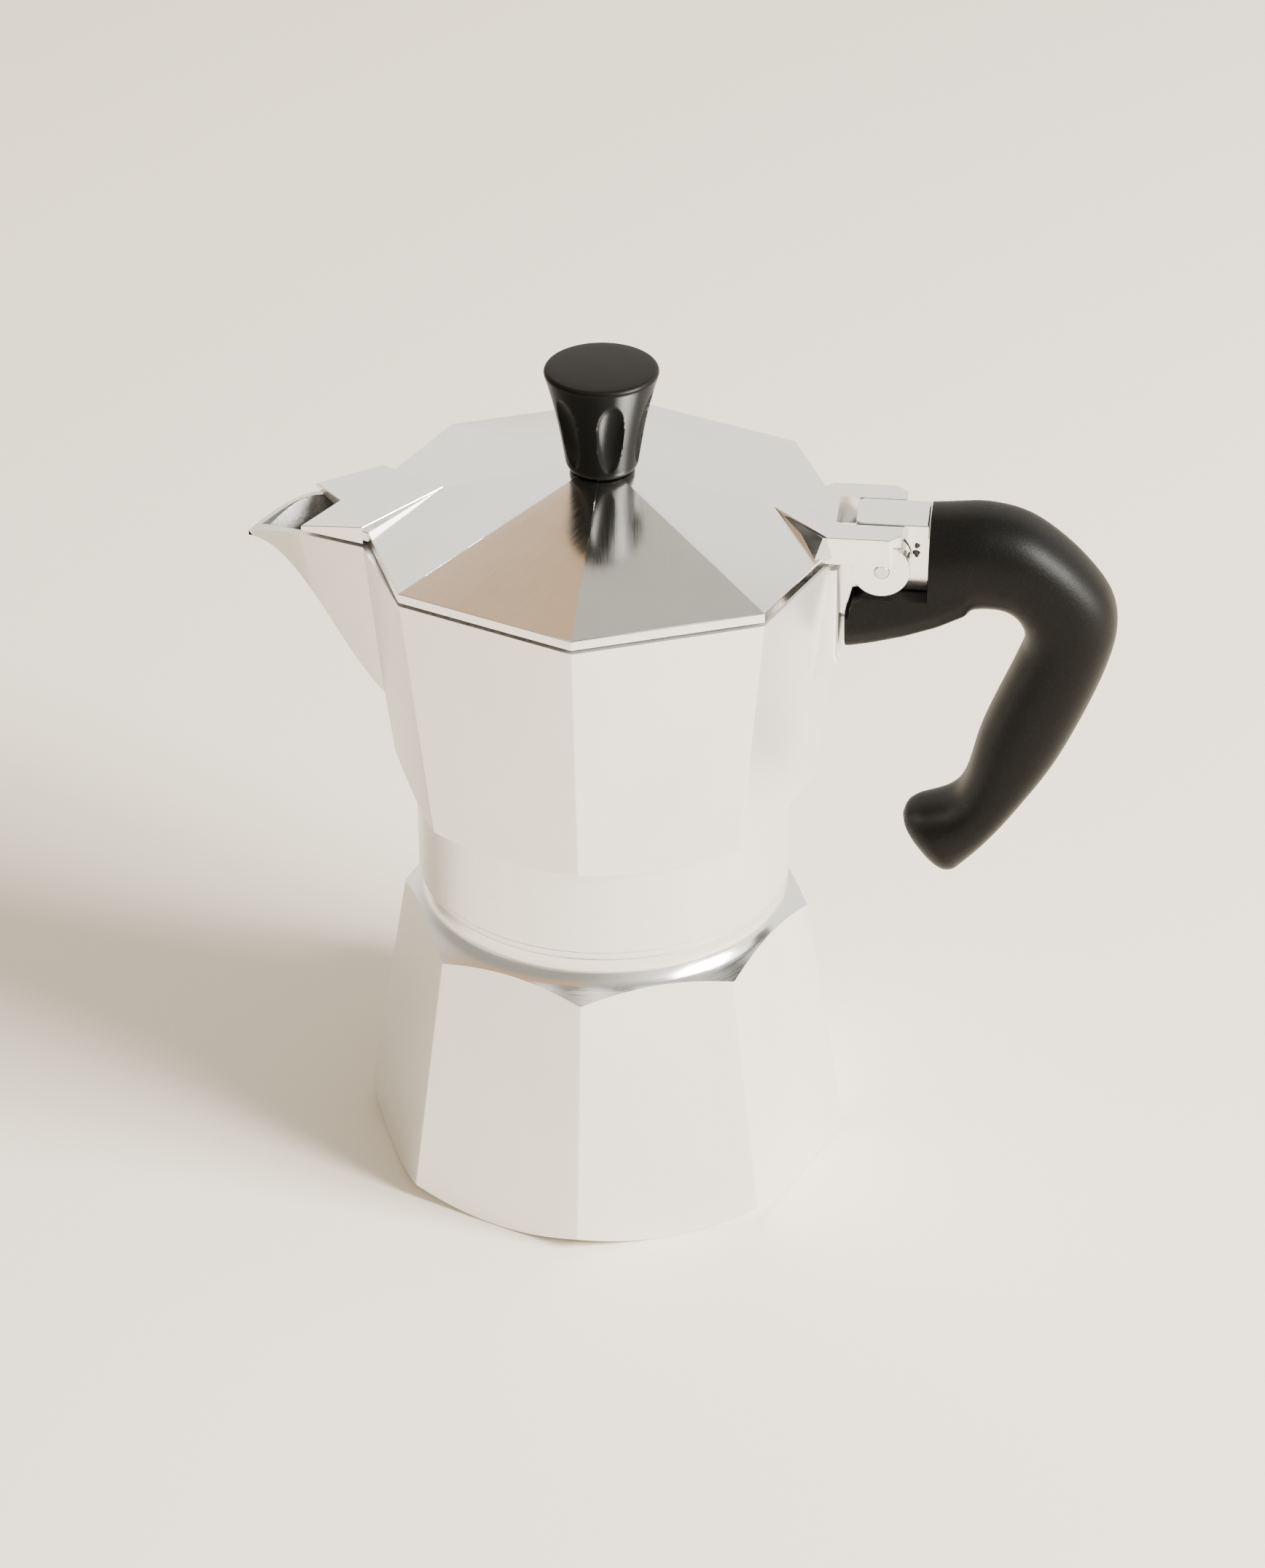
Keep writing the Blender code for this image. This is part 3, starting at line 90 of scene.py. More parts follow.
# %% A finish: one material and the nodes in it
class Finish:
    """A material with a Principled shader, and one method that adds any other node."""

    def __init__(self, name, colour, roughness, metallic=0.0):
        self.material = bpy.data.materials.new(name)
        self.material.use_nodes = True
        self.tree = self.material.node_tree
        self.shader = self.tree.nodes["Principled BSDF"]
        self.feed("Base Color", (*colour, 1))
        self.feed("Roughness", roughness)
        self.feed("Metallic", metallic)
        if not metallic:
            self.feed("Specular IOR Level", 0.11)

    def node(self, kind, settings=None, inputs=None, output=0):
        """Adds a node. Its settings come first, then the values or links of its sockets."""
        made = self.tree.nodes.new(kind)
        for name, value in (settings or {}).items():
            if name == "stops":
                ramp = made.color_ramp.elements
                while len(ramp) < len(value):
                    ramp.new(1)
                for stop, (place, colour) in zip(ramp, value):
                    stop.position = place
                    stop.color = (*colour, 1)
            else:
                setattr(made, name, value)
        for name, value in (inputs or {}).items():
            if isinstance(value, Socket):
                self.tree.links.new(value.link, made.inputs[name])
            else:
                made.inputs[name].default_value = value
        if isinstance(output, tuple):
            return [Socket(self, made.outputs[name]) for name in output]
        return Socket(self, made.outputs[output])

    def feed(self, name, value):
        """Sets or links a socket of the shader."""
        if isinstance(value, Socket):
            self.tree.links.new(value.link, self.shader.inputs[name])
        else:
            self.shader.inputs[name].default_value = value

    def axes(self):
        """Object coordinates, which are metres in the pot's own frame."""
        spot = self.node("ShaderNodeTexCoord", output="Object")
        return self.node("ShaderNodeSeparateXYZ", inputs={0: spot}, output=("X", "Y", "Z"))

    def noise(self, x, y, z, detail=3.0, roughness=0.5):
        """Noise at a point whose three numbers are already in grains, not metres."""
        spot = self.node("ShaderNodeCombineXYZ", inputs={0: x, 1: y, 2: z})
        inputs = {"Vector": spot, "Scale": 1.0, "Detail": detail, "Roughness": roughness}
        return self.node("ShaderNodeTexNoise", inputs=inputs)

    def blend(self, share, first, second):
        """A colour between two others."""
        inputs = {0: share, 6: self.colour(first), 7: self.colour(second)}
        return self.node("ShaderNodeMix", {"data_type": "RGBA"}, inputs, output=2)

    @staticmethod
    def colour(value):
        return value if isinstance(value, Socket) else (*value, 1)

    def limits(self, value, low, high, to_low=0.0, to_high=1.0):
        """Stretches a range of values over another, smoothly, and stops at its ends."""
        inputs = {0: value, 1: low, 2: high, 3: to_low, 4: to_high}
        return self.node("ShaderNodeMapRange", {"interpolation_type": "SMOOTHSTEP"}, inputs)

    def bump(self, height, depth, strength=1.0):
        """Raises the surface by a height from 0 to 1, at a real depth in metres."""
        inputs = {"Height": height, "Distance": depth, "Strength": strength}
        self.feed("Normal", self.node("ShaderNodeBump", inputs=inputs, output="Normal"))


# %% [markdown]
# ## Aluminium in six states
#
# The same alloy looks different on each surface. The flats are drawn over a belt and show fine
# lines that run up and down. The shoulder is cut on a lathe and has bright rings. The collar is
# turned too, but with a fine feed, so it looks silky. The lid is buffed almost to a mirror. The
# inside stays as it came out of the mould, grey and grainy, and the hinge is milled bright. Object
# coordinates carry all of these patterns, because each of them follows the shape and not an
# unwrapping.

# %% Lines along a flat
corner_turn = pi / 4


def flat_axes(finish):
    """How far across and how far out from the axis a point on one of the eight flats is."""
    x, y, z = finish.axes()
    angle = finish.node("ShaderNodeMath", {"operation": "ARCTAN2"}, {0: y, 1: x})
    flat = finish.node("ShaderNodeMath", {"operation": "FLOOR"}, {0: angle / corner_turn})
    middle = (flat + 0.5) * corner_turn
    cosine = finish.node("ShaderNodeMath", {"operation": "COSINE"}, {0: middle})
    sine = finish.node("ShaderNodeMath", {"operation": "SINE"}, {0: middle})
    return y * cosine - x * sine, x * cosine + y * sine, z, flat


# %% Brushed flats of the boiler and collector
def brushed_aluminium():
    made = Finish("brushed_aluminium", (0.86, 0.855, 0.84), 0.36, 0.78)
    across, _, z, flat = flat_axes(made)
    lines = made.noise(across * 3600, flat * 7.3, z * 55, detail=4, roughness=0.7)
    cloud = made.noise(across * 60, flat * 3.1, z * 34, detail=3)
    specks = made.noise(across * 1500, flat, z * 1500, detail=1)
    pits = made.limits(specks, 0.70, 0.80)
    tone = made.blend(cloud, (0.80, 0.785, 0.755), (0.90, 0.885, 0.86))
    made.feed("Base Color", made.blend(pits * 0.35, tone, (0.58, 0.56, 0.53)))
    made.feed("Roughness", 0.26 + lines * 0.16 + cloud * 0.06)
    made.bump(lines * 0.8 + specks * 0.2 - pits * 0.2, 0.000012)
    return made


# %% Turned shoulder, waist, neck and thread
def rings(finish, fine):
    """Noise that runs round the axis, so that it makes rings."""
    x, y, z = finish.axes()
    out = finish.node("ShaderNodeMath", {"operation": "SQRT"}, {0: x * x + y * y})
    angle = finish.node("ShaderNodeMath", {"operation": "ARCTAN2"}, {0: y, 1: x})
    return finish.noise(out * fine, z * fine, angle * 1.5, detail=4, roughness=0.65), angle, out, z


def turned_aluminium():
    made = Finish("turned_aluminium", (0.88, 0.875, 0.86), 0.16, 1.0)
    grooves, angle, out, z = rings(made, 2600)
    bands = made.noise(out * 520, z * 520, angle * 0.8, detail=2)
    made.feed("Base Color", made.blend(bands, (0.84, 0.835, 0.82), (0.93, 0.925, 0.91)))
    made.feed("Roughness", 0.08 + grooves * 0.13 + bands * 0.05)
    made.bump(grooves * 0.8 + bands, 0.000035)
    return made


def collar_aluminium():
    made = Finish("collar_aluminium", (0.87, 0.865, 0.85), 0.27, 0.85)
    grooves, angle, out, z = rings(made, 3600)
    cloud = made.noise(angle * 9, z * 60, out * 5, detail=3)
    made.feed("Base Color", made.blend(cloud, (0.83, 0.825, 0.805), (0.90, 0.895, 0.88)))
    made.feed("Roughness", 0.20 + grooves * 0.12 + cloud * 0.05)
    made.bump(grooves, 0.00001)
    return made


# %% Buffed lid
def buffed_aluminium():
    made = Finish("buffed_aluminium", (0.90, 0.895, 0.88), 0.1, 1.0)
    across, outward, _, flat = flat_axes(made)
    lines = made.noise(across * 2600 + outward * 700, flat * 5.9, outward * 130, detail=3, roughness=0.7)
    cloud = made.noise(across * 70, outward * 70, flat * 3.7, detail=3)
    swell = made.noise(across * 28, outward * 28, flat * 1.9, detail=1)
    made.feed("Base Color", made.blend(cloud, (0.83, 0.815, 0.79), (0.95, 0.94, 0.925)))
    made.feed("Roughness", 0.04 + lines * 0.16 + cloud * 0.04)
    made.bump(lines * 0.05 + swell, 0.00012)
    return made


# %% Cast skin inside, and bright milled faces of the hinge
def cast_aluminium():
    made = Finish("cast_aluminium", (0.42, 0.42, 0.41), 0.5, 1.0)
    x, y, z = made.axes()
    grain = made.noise(x * 1500, y * 1500, z * 1500, detail=4, roughness=0.65)
    stain = made.noise(x * 260, y * 260, z * 260, detail=3)
    tone = made.blend(stain, (0.20, 0.198, 0.19), (0.44, 0.435, 0.42))
    warm = made.limits(stain, 0.64, 0.72)
    made.feed("Base Color", made.blend(warm * 0.5, tone, (0.45, 0.34, 0.24)))
    made.feed("Roughness", 0.38 + grain * 0.3)
    made.bump(grain, 0.00012)
    return made


def milled_aluminium():
    made = Finish("milled_aluminium", (0.89, 0.885, 0.87), 0.14, 1.0)
    x, y, z = made.axes()
    lines = made.noise(x * 300, y * 300, z * 3200, detail=3, roughness=0.6)
    cloud = made.noise(x * 220, y * 220, z * 220, detail=2)
    made.feed("Base Color", made.blend(cloud, (0.85, 0.845, 0.83), (0.92, 0.915, 0.90)))
    made.feed("Roughness", 0.10 + lines * 0.10 + cloud * 0.04)
    made.bump(lines, 0.000006)
    return made


# %% [markdown]
# ## The other finishes
#
# The handle is a mineral-filled phenolic resin: nearly black, with a fine even grain that breaks
# up the highlight. The knob comes out of a polished mould and is glossier on its sides than on
# its flat top. Brass, spring steel, silicone and the valve's fibre washer are small, so each gets
# one pattern at its own scale.

# %% Handle and knob
def phenolic_resin():
    made = Finish("phenolic_resin", (0.0026, 0.0025, 0.0023), 0.42)
    x, y, z = made.axes()
    grain = made.noise(x * 2300, y * 2300, z * 2300, detail=3, roughness=0.6)
    dust = made.noise(x * 4200, y * 4200, z * 4200, detail=1)
    handled = made.noise(x * 45, y * 45, z * 45, detail=2)
    pale = made.limits(dust, 0.66, 0.74)
    made.feed("Base Color", made.blend(pale * 0.5, (0.0026, 0.0025, 0.0023), (0.018, 0.017, 0.015)))
    made.feed("Roughness", 0.34 + grain * 0.14 + handled * 0.06)
    made.bump(grain, 0.00004)
    return made


def moulded_gloss(top):
    made = Finish("moulded_gloss", (0.0024, 0.0024, 0.0024), 0.24)
    x, y, z = made.axes()
    grain = made.noise(x * 3000, y * 3000, z * 3000, detail=2)
    flow = made.noise(x * 120, y * 120, z * 40, detail=2)
    # The flat top is rougher, and it is also painted a little lighter and browner: a painted reflection of
    # the warm room above it.
    matt_and_painted_lighter_top = z > top
    made.feed("Base Color", made.blend(matt_and_painted_lighter_top, (0.0024, 0.0024, 0.0024), (0.0036, 0.0030, 0.0026)))
    made.feed("Roughness", 0.28 + flow * 0.08 + grain * 0.04 + matt_and_painted_lighter_top * 0.10)
    made.bump(grain, 0.00001)
    return made


# %% Brass, steel, silicone and fibre
def turned_metal(name, dark, bright, base):
    made = Finish(name, bright, base, 1.0)
    x, y, z = made.axes()
    lines = made.noise(x * 900, y * 900, z * 900, detail=4, roughness=0.7)
    cloud = made.noise(x * 180, y * 180, z * 180, detail=2)
    made.feed("Base Color", made.blend(cloud, dark, bright))
    made.feed("Roughness", base + lines * 0.14)
    made.bump(lines, 0.000012)
    return made


def soft_seal(name, dark, pale, rough):
    made = Finish(name, pale, rough)
    x, y, z = made.axes()
    grain = made.noise(x * 1400, y * 1400, z * 1400, detail=3)
    cloud = made.noise(x * 160, y * 160, z * 160, detail=2)
    made.feed("Base Color", made.blend(cloud, dark, pale))
    made.feed("Roughness", rough + grain * 0.2)
    made.bump(grain, 0.00003)
    return made


# %% Make them all
brushed = brushed_aluminium()
turned = turned_aluminium()
silky = collar_aluminium()
buffed = buffed_aluminium()
cast = cast_aluminium()
milled = milled_aluminium()
resin = phenolic_resin()
pressed = turned_metal("pressed_aluminium", (0.70, 0.70, 0.69), (0.80, 0.80, 0.79), 0.24)
brass = turned_metal("turned_brass", (0.62, 0.44, 0.19), (0.80, 0.62, 0.31), 0.20)
steel = turned_metal("bright_steel", (0.58, 0.58, 0.58), (0.76, 0.76, 0.76), 0.16)
silicone = soft_seal("silicone", (0.70, 0.69, 0.65), (0.80, 0.79, 0.76), 0.45)
fibre = soft_seal("fibre", (0.33, 0.08, 0.05), (0.48, 0.14, 0.10), 0.65)
print(len(bpy.data.materials), "materials, one of them from the packed model at least")

# %% [markdown]
# ## Tools of the bench
#
# Nearly everything on the pot is turned, milled flat, or cut by something of those shapes. A ring
# of points that is extruded and scaled from height to height makes both the turned and the
# eight-sided bodies. A flat outline that is pushed out makes the rest. A Boolean then cuts one by
# the other, as the real tools do, and its Transfer setting gives the new faces the tool's finish.

# %% Select one object alone
def only(piece):
    bpy.ops.object.select_all(action="DESELECT")
    piece.select_set(True)
    bpy.context.view_layer.objects.active = piece
    return piece


def in_edit_mode(piece):
    only(piece)
    bpy.ops.object.mode_set(mode="EDIT")
    bpy.ops.mesh.select_all(action="SELECT")


def face_out():
    """Turns every face outwards, and leaves edit mode."""
    bpy.ops.mesh.select_all(action="SELECT")
    bpy.ops.mesh.normals_make_consistent(inside=False)
    bpy.ops.object.mode_set(mode="OBJECT")


# %% A body of rings
def ring_stack(name, outline, sides, finish):
    """Starts from a filled ring and extrudes it through (radius, height) steps."""
    (radius, height), *steps = outline
    bpy.ops.object.select_all(action="DESELECT")
    bpy.ops.mesh.primitive_circle_add(vertices=sides, radius=radius, fill_type="NGON")
    piece = bpy.context.object
    piece.name = name
    in_edit_mode(piece)
    bpy.ops.transform.translate(value=(0, 0, height))
    for wider, higher in steps:
        bpy.ops.mesh.extrude_region_move(TRANSFORM_OT_translate={"value": (0, 0, higher - height)})
        share = wider / radius
        bpy.ops.transform.resize(value=(share, share, 1), center_override=(0, 0, 0))
        radius, height = wider, higher
    face_out()
    piece.data.materials.append(finish.material)
    return piece


# %% A body of one outline
def prism(name, outline, low, high, finish, along="Z"):
    """Pushes a flat outline out: its points are (x, y) along Z, or (x, z) along Y."""
    bpy.ops.object.select_all(action="DESELECT")
    bpy.ops.mesh.primitive_circle_add(vertices=len(outline), fill_type="NGON")
    piece = bpy.context.object
    piece.name = name
    for vertex, (a, b) in zip(piece.data.vertices, outline):
        vertex.co = (a, b, low) if along == "Z" else (a, low, b)
    push = (0, 0, high - low) if along == "Z" else (0, high - low, 0)
    in_edit_mode(piece)
    bpy.ops.mesh.extrude_region_move(TRANSFORM_OT_translate={"value": push})
    face_out()
    piece.data.materials.append(finish.material)
    return piece


def arc(centre, radius, start, end, steps):
    """Points of an arc in a plane, angles in degrees."""
    angles = [radians(start + (end - start) * i / steps) for i in range(steps + 1)]
    return [(centre[0] + radius * cos(a), centre[1] + radius * sin(a)) for a in angles]


# %% Cutting, joining and rounding
def cut(piece, tool, operation="DIFFERENCE"):
    """Applies a Boolean and throws the tool away. New faces keep the tool's finish."""
    only(piece)
    bpy.ops.object.modifier_add(type="BOOLEAN")
    modifier = piece.modifiers[-1]
    modifier.operation = operation
    modifier.solver = "EXACT"
    modifier.material_mode = "TRANSFER"
    modifier.object = tool
    bpy.ops.object.modifier_apply(modifier=modifier.name)
    bpy.data.objects.remove(tool, do_unlink=True)
    return piece


def round_edges(piece, width, chosen, segments=3):
    """Bevels the edges that a test on their two ends picks."""
    in_edit_mode(piece)
    bpy.ops.mesh.select_mode(type="EDGE")
    bpy.ops.mesh.select_all(action="DESELECT")
    bpy.ops.object.mode_set(mode="OBJECT")
    points = piece.data.vertices
    for edge in piece.data.edges:
        edge.select = chosen(points[edge.vertices[0]].co, points[edge.vertices[1]].co)
    bpy.ops.object.mode_set(mode="EDIT")
    bpy.ops.mesh.bevel(offset=width, segments=segments, affect="EDGES")
    bpy.ops.object.mode_set(mode="OBJECT")


def steep(a, b):
    """An edge that climbs more than it runs sideways."""
    return abs(a.z - b.z) > (a - b).xy.length


# %% Hand a finished piece over
def hand_over(piece, body, slot, *nodes, smooth=12):
    """Smooths what is round, ties the piece to its body and hides the nodes it stands for. The slot is not
    used.
    """
    only(piece)
    bpy.ops.object.shade_smooth_by_angle(angle=radians(smooth))
    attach(piece, body)
    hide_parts(*nodes)
    size = [round(1000 * v, 1) for v in piece.dimensions]
    print(f"{piece.name}: {len(piece.data.polygons)} faces, {size} mm, rides {body}")
    return piece


# %% [markdown]
# ## Sizes that the pieces share
#
# These are the frame's own sizes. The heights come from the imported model's boxes where a box
# gives them, so the finished pieces stay where the frame has them.

# %% Heights and radii
gap = 0.0003  # between faces that touch
pin_radius = 0.0013
pin_bore = 0.00142
across_flats = cos(corner_turn / 2)  # a flat's distance from the axis, per unit of corner radius
foot_radius = 0.0475
shoulder_radius = 0.0392
shoulder_height = 0.0513
joint_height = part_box("collector")[0].z - gap
neck_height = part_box("boiler")[1].z
collar_low = joint_height + gap
collar_high = collar_low + 0.01935
collar_radius = 0.03575
rim_radius = 0.0465
pin_low, pin_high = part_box("hinge_pin")
pin_x = (pin_low.x + pin_high.x) / 2
lid_low_by_pin = (pin_low.z + pin_high.z) / 2 + 0.0013
mouth_height = lid_low_by_pin - 0.0008
pin_z = lid_low_by_pin - 0.0013
round_sides = 160
thread_root = 0.0316
thread_depth = 0.0012
thread_pitch = 0.003
thread_bore = thread_root + thread_depth + 0.00035
print("mouth", round(mouth_height, 5), "pin", round(pin_x, 5), round(pin_z, 5), "neck", round(neck_height, 5))


def boiler_radius(z):
    """Corner radius of the boiler at a height."""
    return foot_radius - (foot_radius - shoulder_radius) * z / shoulder_height


def collector_radius(z):
    """Corner radius of the collector at a height."""
    low = 0.0400
    return low + (rim_radius - low) * (z - collar_high) / (mouth_height - collar_high)


# %% [markdown]
# ## The boiler
#
# The real cup is die-cast with eight flats. A lathe then turns its foot, its shoulder and its
# neck, and where the round cut meets the flats it leaves the row of curved edges that this pot is
# known for. Drawing those curves by hand would be hard. Here they come by themselves, as on the
# lathe: an eight-sided body is intersected with a turned one.

# %% The eight-sided cup
boiler = ring_stack(
    "boiler_cup",
    [(boiler_radius(-0.001), -0.001), (boiler_radius(neck_height + 0.001), neck_height + 0.001)],
    8,
    brushed,
)
round_edges(boiler, 0.00035, steep)

# %% What the lathe leaves
foot_flat = foot_radius * across_flats
wide = foot_radius + 0.004
foot_slope = 0.0029 / 0.0033
shoulder_slope = 0.576
waist_radius = 0.0339
flange_radius = collar_radius - 0.00095
hollow_radius = 0.005
hollow_turn = 60  # degrees, from the shoulder to the upright waist
cove_start = waist_radius + hollow_radius * (1 - cos(radians(hollow_turn)))
cove_low = shoulder_height + shoulder_slope * (shoulder_radius - cove_start)
cove_high = cove_low + hollow_radius * sin(radians(hollow_turn))
turning = [
    (foot_flat - 0.0004, 0),
    (foot_flat, 0.0002),
    (wide, 0.0002 + (wide - foot_flat) * foot_slope),
    (wide, shoulder_height - shoulder_slope * (wide - shoulder_radius)),
]
turning += arc((waist_radius + hollow_radius, cove_high), hollow_radius, 180 + hollow_turn, 180, 14)
turning += [
    (waist_radius, joint_height - 0.0009),
    (flange_radius - 0.0001, joint_height - 0.0003),
    (flange_radius - 0.0001, joint_height - 0.0001),
    (flange_radius - 0.0003, joint_height),
    (thread_root, joint_height),
    (thread_root, neck_height - 0.0005),
    (thread_root - 0.0005, neck_height),
]
cut(boiler, ring_stack("turning", turning, round_sides, turned), "INTERSECT")

# %% The hollow
wall = 0.0035
inner_foot = boiler_radius(0.004) * across_flats - wall
hollow = [(inner_foot - 0.003, 0.004)]
hollow += arc((inner_foot - 0.003, 0.007), 0.003, -75, 0, 6)
hollow += [
    (boiler_radius(shoulder_height - 0.001) * across_flats - wall, shoulder_height - 0.001),
    (0.028, joint_height - 0.001),
    (0.028, neck_height - 0.0005),
    (0.0285, neck_height + 0.0001),
    (0.0285, neck_height + 0.002),
]
cut(boiler, ring_stack("hollow", hollow, round_sides, cast))

# %% [markdown]
# ## Threads
#
# A thread is a small profile carried round the axis while it climbs. The Screw modifier does just
# that. Its two ends are left open, so they are filled before the ridge is joined to its wall.

# %% A ridge that climbs
def thread(name, root, way, low, turns, finish):
    """A helical ridge on a wall of that radius. Way is 1 outwards and -1 inwards."""
    sunk = root - way * 0.0005
    tip = root + way * thread_depth
    profile = [(sunk, -0.00095), (tip, -0.00024), (tip, 0.00024), (sunk, 0.00095)]
    mesh = bpy.data.meshes.new(name)
    points = [(radius, 0, low + up) for radius, up in profile]
    mesh.from_pydata(points, [(0, 1), (1, 2), (2, 3), (3, 0)], [])
    ridge = bpy.data.objects.new(name, mesh)
    bpy.context.scene.collection.objects.link(ridge)
    only(ridge)
    bpy.ops.object.modifier_add(type="SCREW")
    screw = ridge.modifiers[-1]
    screw.angle = 2 * pi * turns
    screw.screw_offset = thread_pitch * turns
    screw.steps = screw.render_steps = int(72 * turns)
    screw.use_merge_vertices = False
    bpy.ops.object.modifier_apply(modifier=screw.name)
    in_edit_mode(ridge)
    bpy.ops.mesh.fill_holes(sides=0)
    face_out()
    ridge.data.materials.append(finish.material)
    return ridge


thread_turns = 2.25
outer_low = joint_height + 0.55 * thread_pitch
cut(boiler, thread("boiler_thread", thread_root, 1, outer_low, thread_turns, turned), "UNION")

# %% [markdown]
# ## The safety valve
#
# A brass valve is screwed into one flat at the back, square to it. It is built upright at the
# origin, where it is easy to turn, and then one matrix stands it on its flat.

# %% Where the valve stands
valve_height = 0.033
valve_angle = 2.5 * corner_turn
lean = atan2((foot_radius - shoulder_radius) / shoulder_height * across_flats, 1)
valve_out = boiler_radius(valve_height) * across_flats
valve_place = (
    Matrix.Translation((valve_out * cos(valve_angle), valve_out * sin(valve_angle), valve_height))
    @ Matrix.Rotation(valve_angle, 4, "Z")
    @ Matrix.Rotation(pi / 2 - lean, 4, "Y")
)


def stand(piece):
    """Moves a piece that was built upright at the origin to the valve's flat."""
    piece.data.transform(valve_place)
    return piece


boss_top = 0.0008
boss = [(0.0077, -0.002), (0.0077, 0.0002), (0.0075, 0.0006), (0.0072, boss_top)]
cut(boiler, stand(ring_stack("valve_boss", boss, 64, turned)), "UNION")
cut(boiler, stand(ring_stack("valve_bore", [(0.0042, -0.008), (0.0042, 0.004)], 48, cast)))
hand_over(boiler, "boiler_body", "satin_aluminium", "boiler")

# %% The valve's body
shank_radius = 0.0039
shank_end = -wall - 0.0018
hex_low = boss_top + gap + 0.001 + gap
hex_high = hex_low + 0.0044
nose = hex_high + 0.0022
outline = [(shank_radius, shank_end), (shank_radius, hex_high - 0.0005)]
outline += arc((0.0040, hex_high - 0.0001), 0.0006, 0, 90, 4)
outline += [(0.0039, nose - 0.0004), (0.0036, nose)]
valve = ring_stack("valve_barrel", outline, 64, brass)
hexagon = [(0.0058 * cos(i * pi / 3), 0.0058 * sin(i * pi / 3)) for i in range(6)]
nut = prism("valve_hexagon", hexagon, hex_low, hex_high, brass)
chamfer = [(0.0050, hex_low), (0.0060, hex_low + 0.0006), (0.0060, hex_high - 0.0006), (0.0050, hex_high)]
cut(nut, ring_stack("valve_chamfer", chamfer, 64, brass), "INTERSECT")
cut(valve, nut, "UNION")
seat = shank_end + 0.0013
chamber = [(0.0015, shank_end - 0.001), (0.0015, seat), (0.0030, seat), (0.0030, nose - 0.001)]
chamber += [(0.0015, nose - 0.001), (0.0015, nose + 0.001)]
cut(valve, ring_stack("valve_chamber", chamber, 48, brass))
hand_over(stand(valve), "boiler_body", "brass", "valve_body", smooth=25)

# %% [markdown]
# ## The collector
#
# The upper chamber is the most complicated casting: a flared eight-sided cup, a round collar with
# the inner thread, a column in the middle, a spout that grows out of one corner and, on the
# opposite corner, the lug that carries the hinge and the handle. It is put together in the order
# of the real work: outside first, then spout and lug, then everything that is hollow.

# %% Outside and collar
flare = [
    (collar_radius / across_flats + 0.003, collar_low - 0.001),
    (0.0400, collar_high),
    (rim_radius, mouth_height),
]
collector = ring_stack("collector_cup", flare, 8, brushed)
round_edges(collector, 0.0003, lambda a, b: steep(a, b) and max(a.z, b.z) > collar_high + 0.001)
groove = collar_low + 0.0018
reach = rim_radius + 0.010
turning = [(collar_radius - 0.0009, collar_low)]
turning += arc((collar_radius - 0.0009, collar_low + 0.0008), 0.0008, -70, 0, 6)
turning += [
    (collar_radius - 0.0001, groove - 0.00014),
    (collar_radius - 0.0004, groove),
    (collar_radius, groove + 0.00018),
    (collar_radius, collar_high),
    (reach, collar_high + 0.558 * (reach - collar_radius)),
    (reach, mouth_height + 0.002),
]
cut(collector, ring_stack("collar_turning", turning, round_sides, silky), "INTERSECT")

# %% [markdown]
# ## The spout
#
# The spout is a wedge between three lines: the keel under it, the edge where its side leaves the
# body, and the lip. Each line is a curve worked out from the rim, so a face can be laid between
# matching points of two lines. No primitive or sweep has this form, so its faces are made one by
# one in a bmesh. The same lines, drawn inwards by the wall's thickness, make the channel.

# %% Three lines
spout_steps = 18


def bezier(points, t):
    """A point on a cubic curve."""
    weights = ((1 - t) ** 3, 3 * t * (1 - t) ** 2, 3 * t * t * (1 - t), t**3)
    return [sum(w * p[k] for w, p in zip(weights, points)) for k in range(len(points[0]))]


def spout_lines(inset):
    """Keel, side edge and lip of the spout, drawn inwards by an inset."""
    low = mouth_height - 0.0379 + inset * 2.2
    foot = (-collector_radius(low) + inset * 0.4, 0, low)
    tip = (-(rim_radius + 0.0199) + inset * 1.7, 0, mouth_height - 0.0044)
    keel_tip = (tip[0], 0, tip[2] - 0.0010 + inset * 0.8)
    bend = (
        foot,
        (foot[0] - 0.0084, 0, foot[2] + 0.0092),
        (keel_tip[0] + 0.0095, 0, keel_tip[2] - 0.0012),
        keel_tip,
    )
    keel = [bezier(bend, i / (2 * spout_steps)) for i in range(2 * spout_steps + 1)]
    shoulder = (-(rim_radius - 0.0038) + inset, 0.0122 - inset, mouth_height)
    side = []
    for i in range(spout_steps + 1):
        t = i / spout_steps
        side.append([a + (b - a) * t for a, b in zip(foot, shoulder)])
    mouth = (-(rim_radius + 0.0083) + inset * 0.2, 0.0083 - inset * 0.9, mouth_height)
    front = (
        mouth,
        (mouth[0] - 0.0045, mouth[1] * 0.80, mouth_height - 0.0003),
        (tip[0] + 0.0030, mouth[1] * 0.36, tip[2] + 0.0016),
        tip,
    )
    lip = [bezier(front, i / (spout_steps - 1)) for i in range(spout_steps)]
    return keel, side, lip


# %% Faces between the lines
def spout_shell(inset):
    """Both sides of the spout, and each side's edge from its foot by way of the lip to the tip."""
    keel, side, lip = spout_lines(inset)
    bm = bmesh.new()
    middle = [bm.verts.new(point) for point in keel]
    tip = bm.verts.new(lip[-1])
    edges = []
    for way in (-1, 1):
        inner = [bm.verts.new((x, way * y, z)) for x, y, z in side[1:] + lip[:-1]]
        edge = [middle[0], *inner, tip]
        for i in range(len(edge) - 1):
            corners = [middle[i], middle[i + 1], edge[i + 1], edge[i]]
            bm.faces.new([v for k, v in enumerate(corners) if v not in corners[:k]])
        edges.append(edge)
    return bm, middle, edges


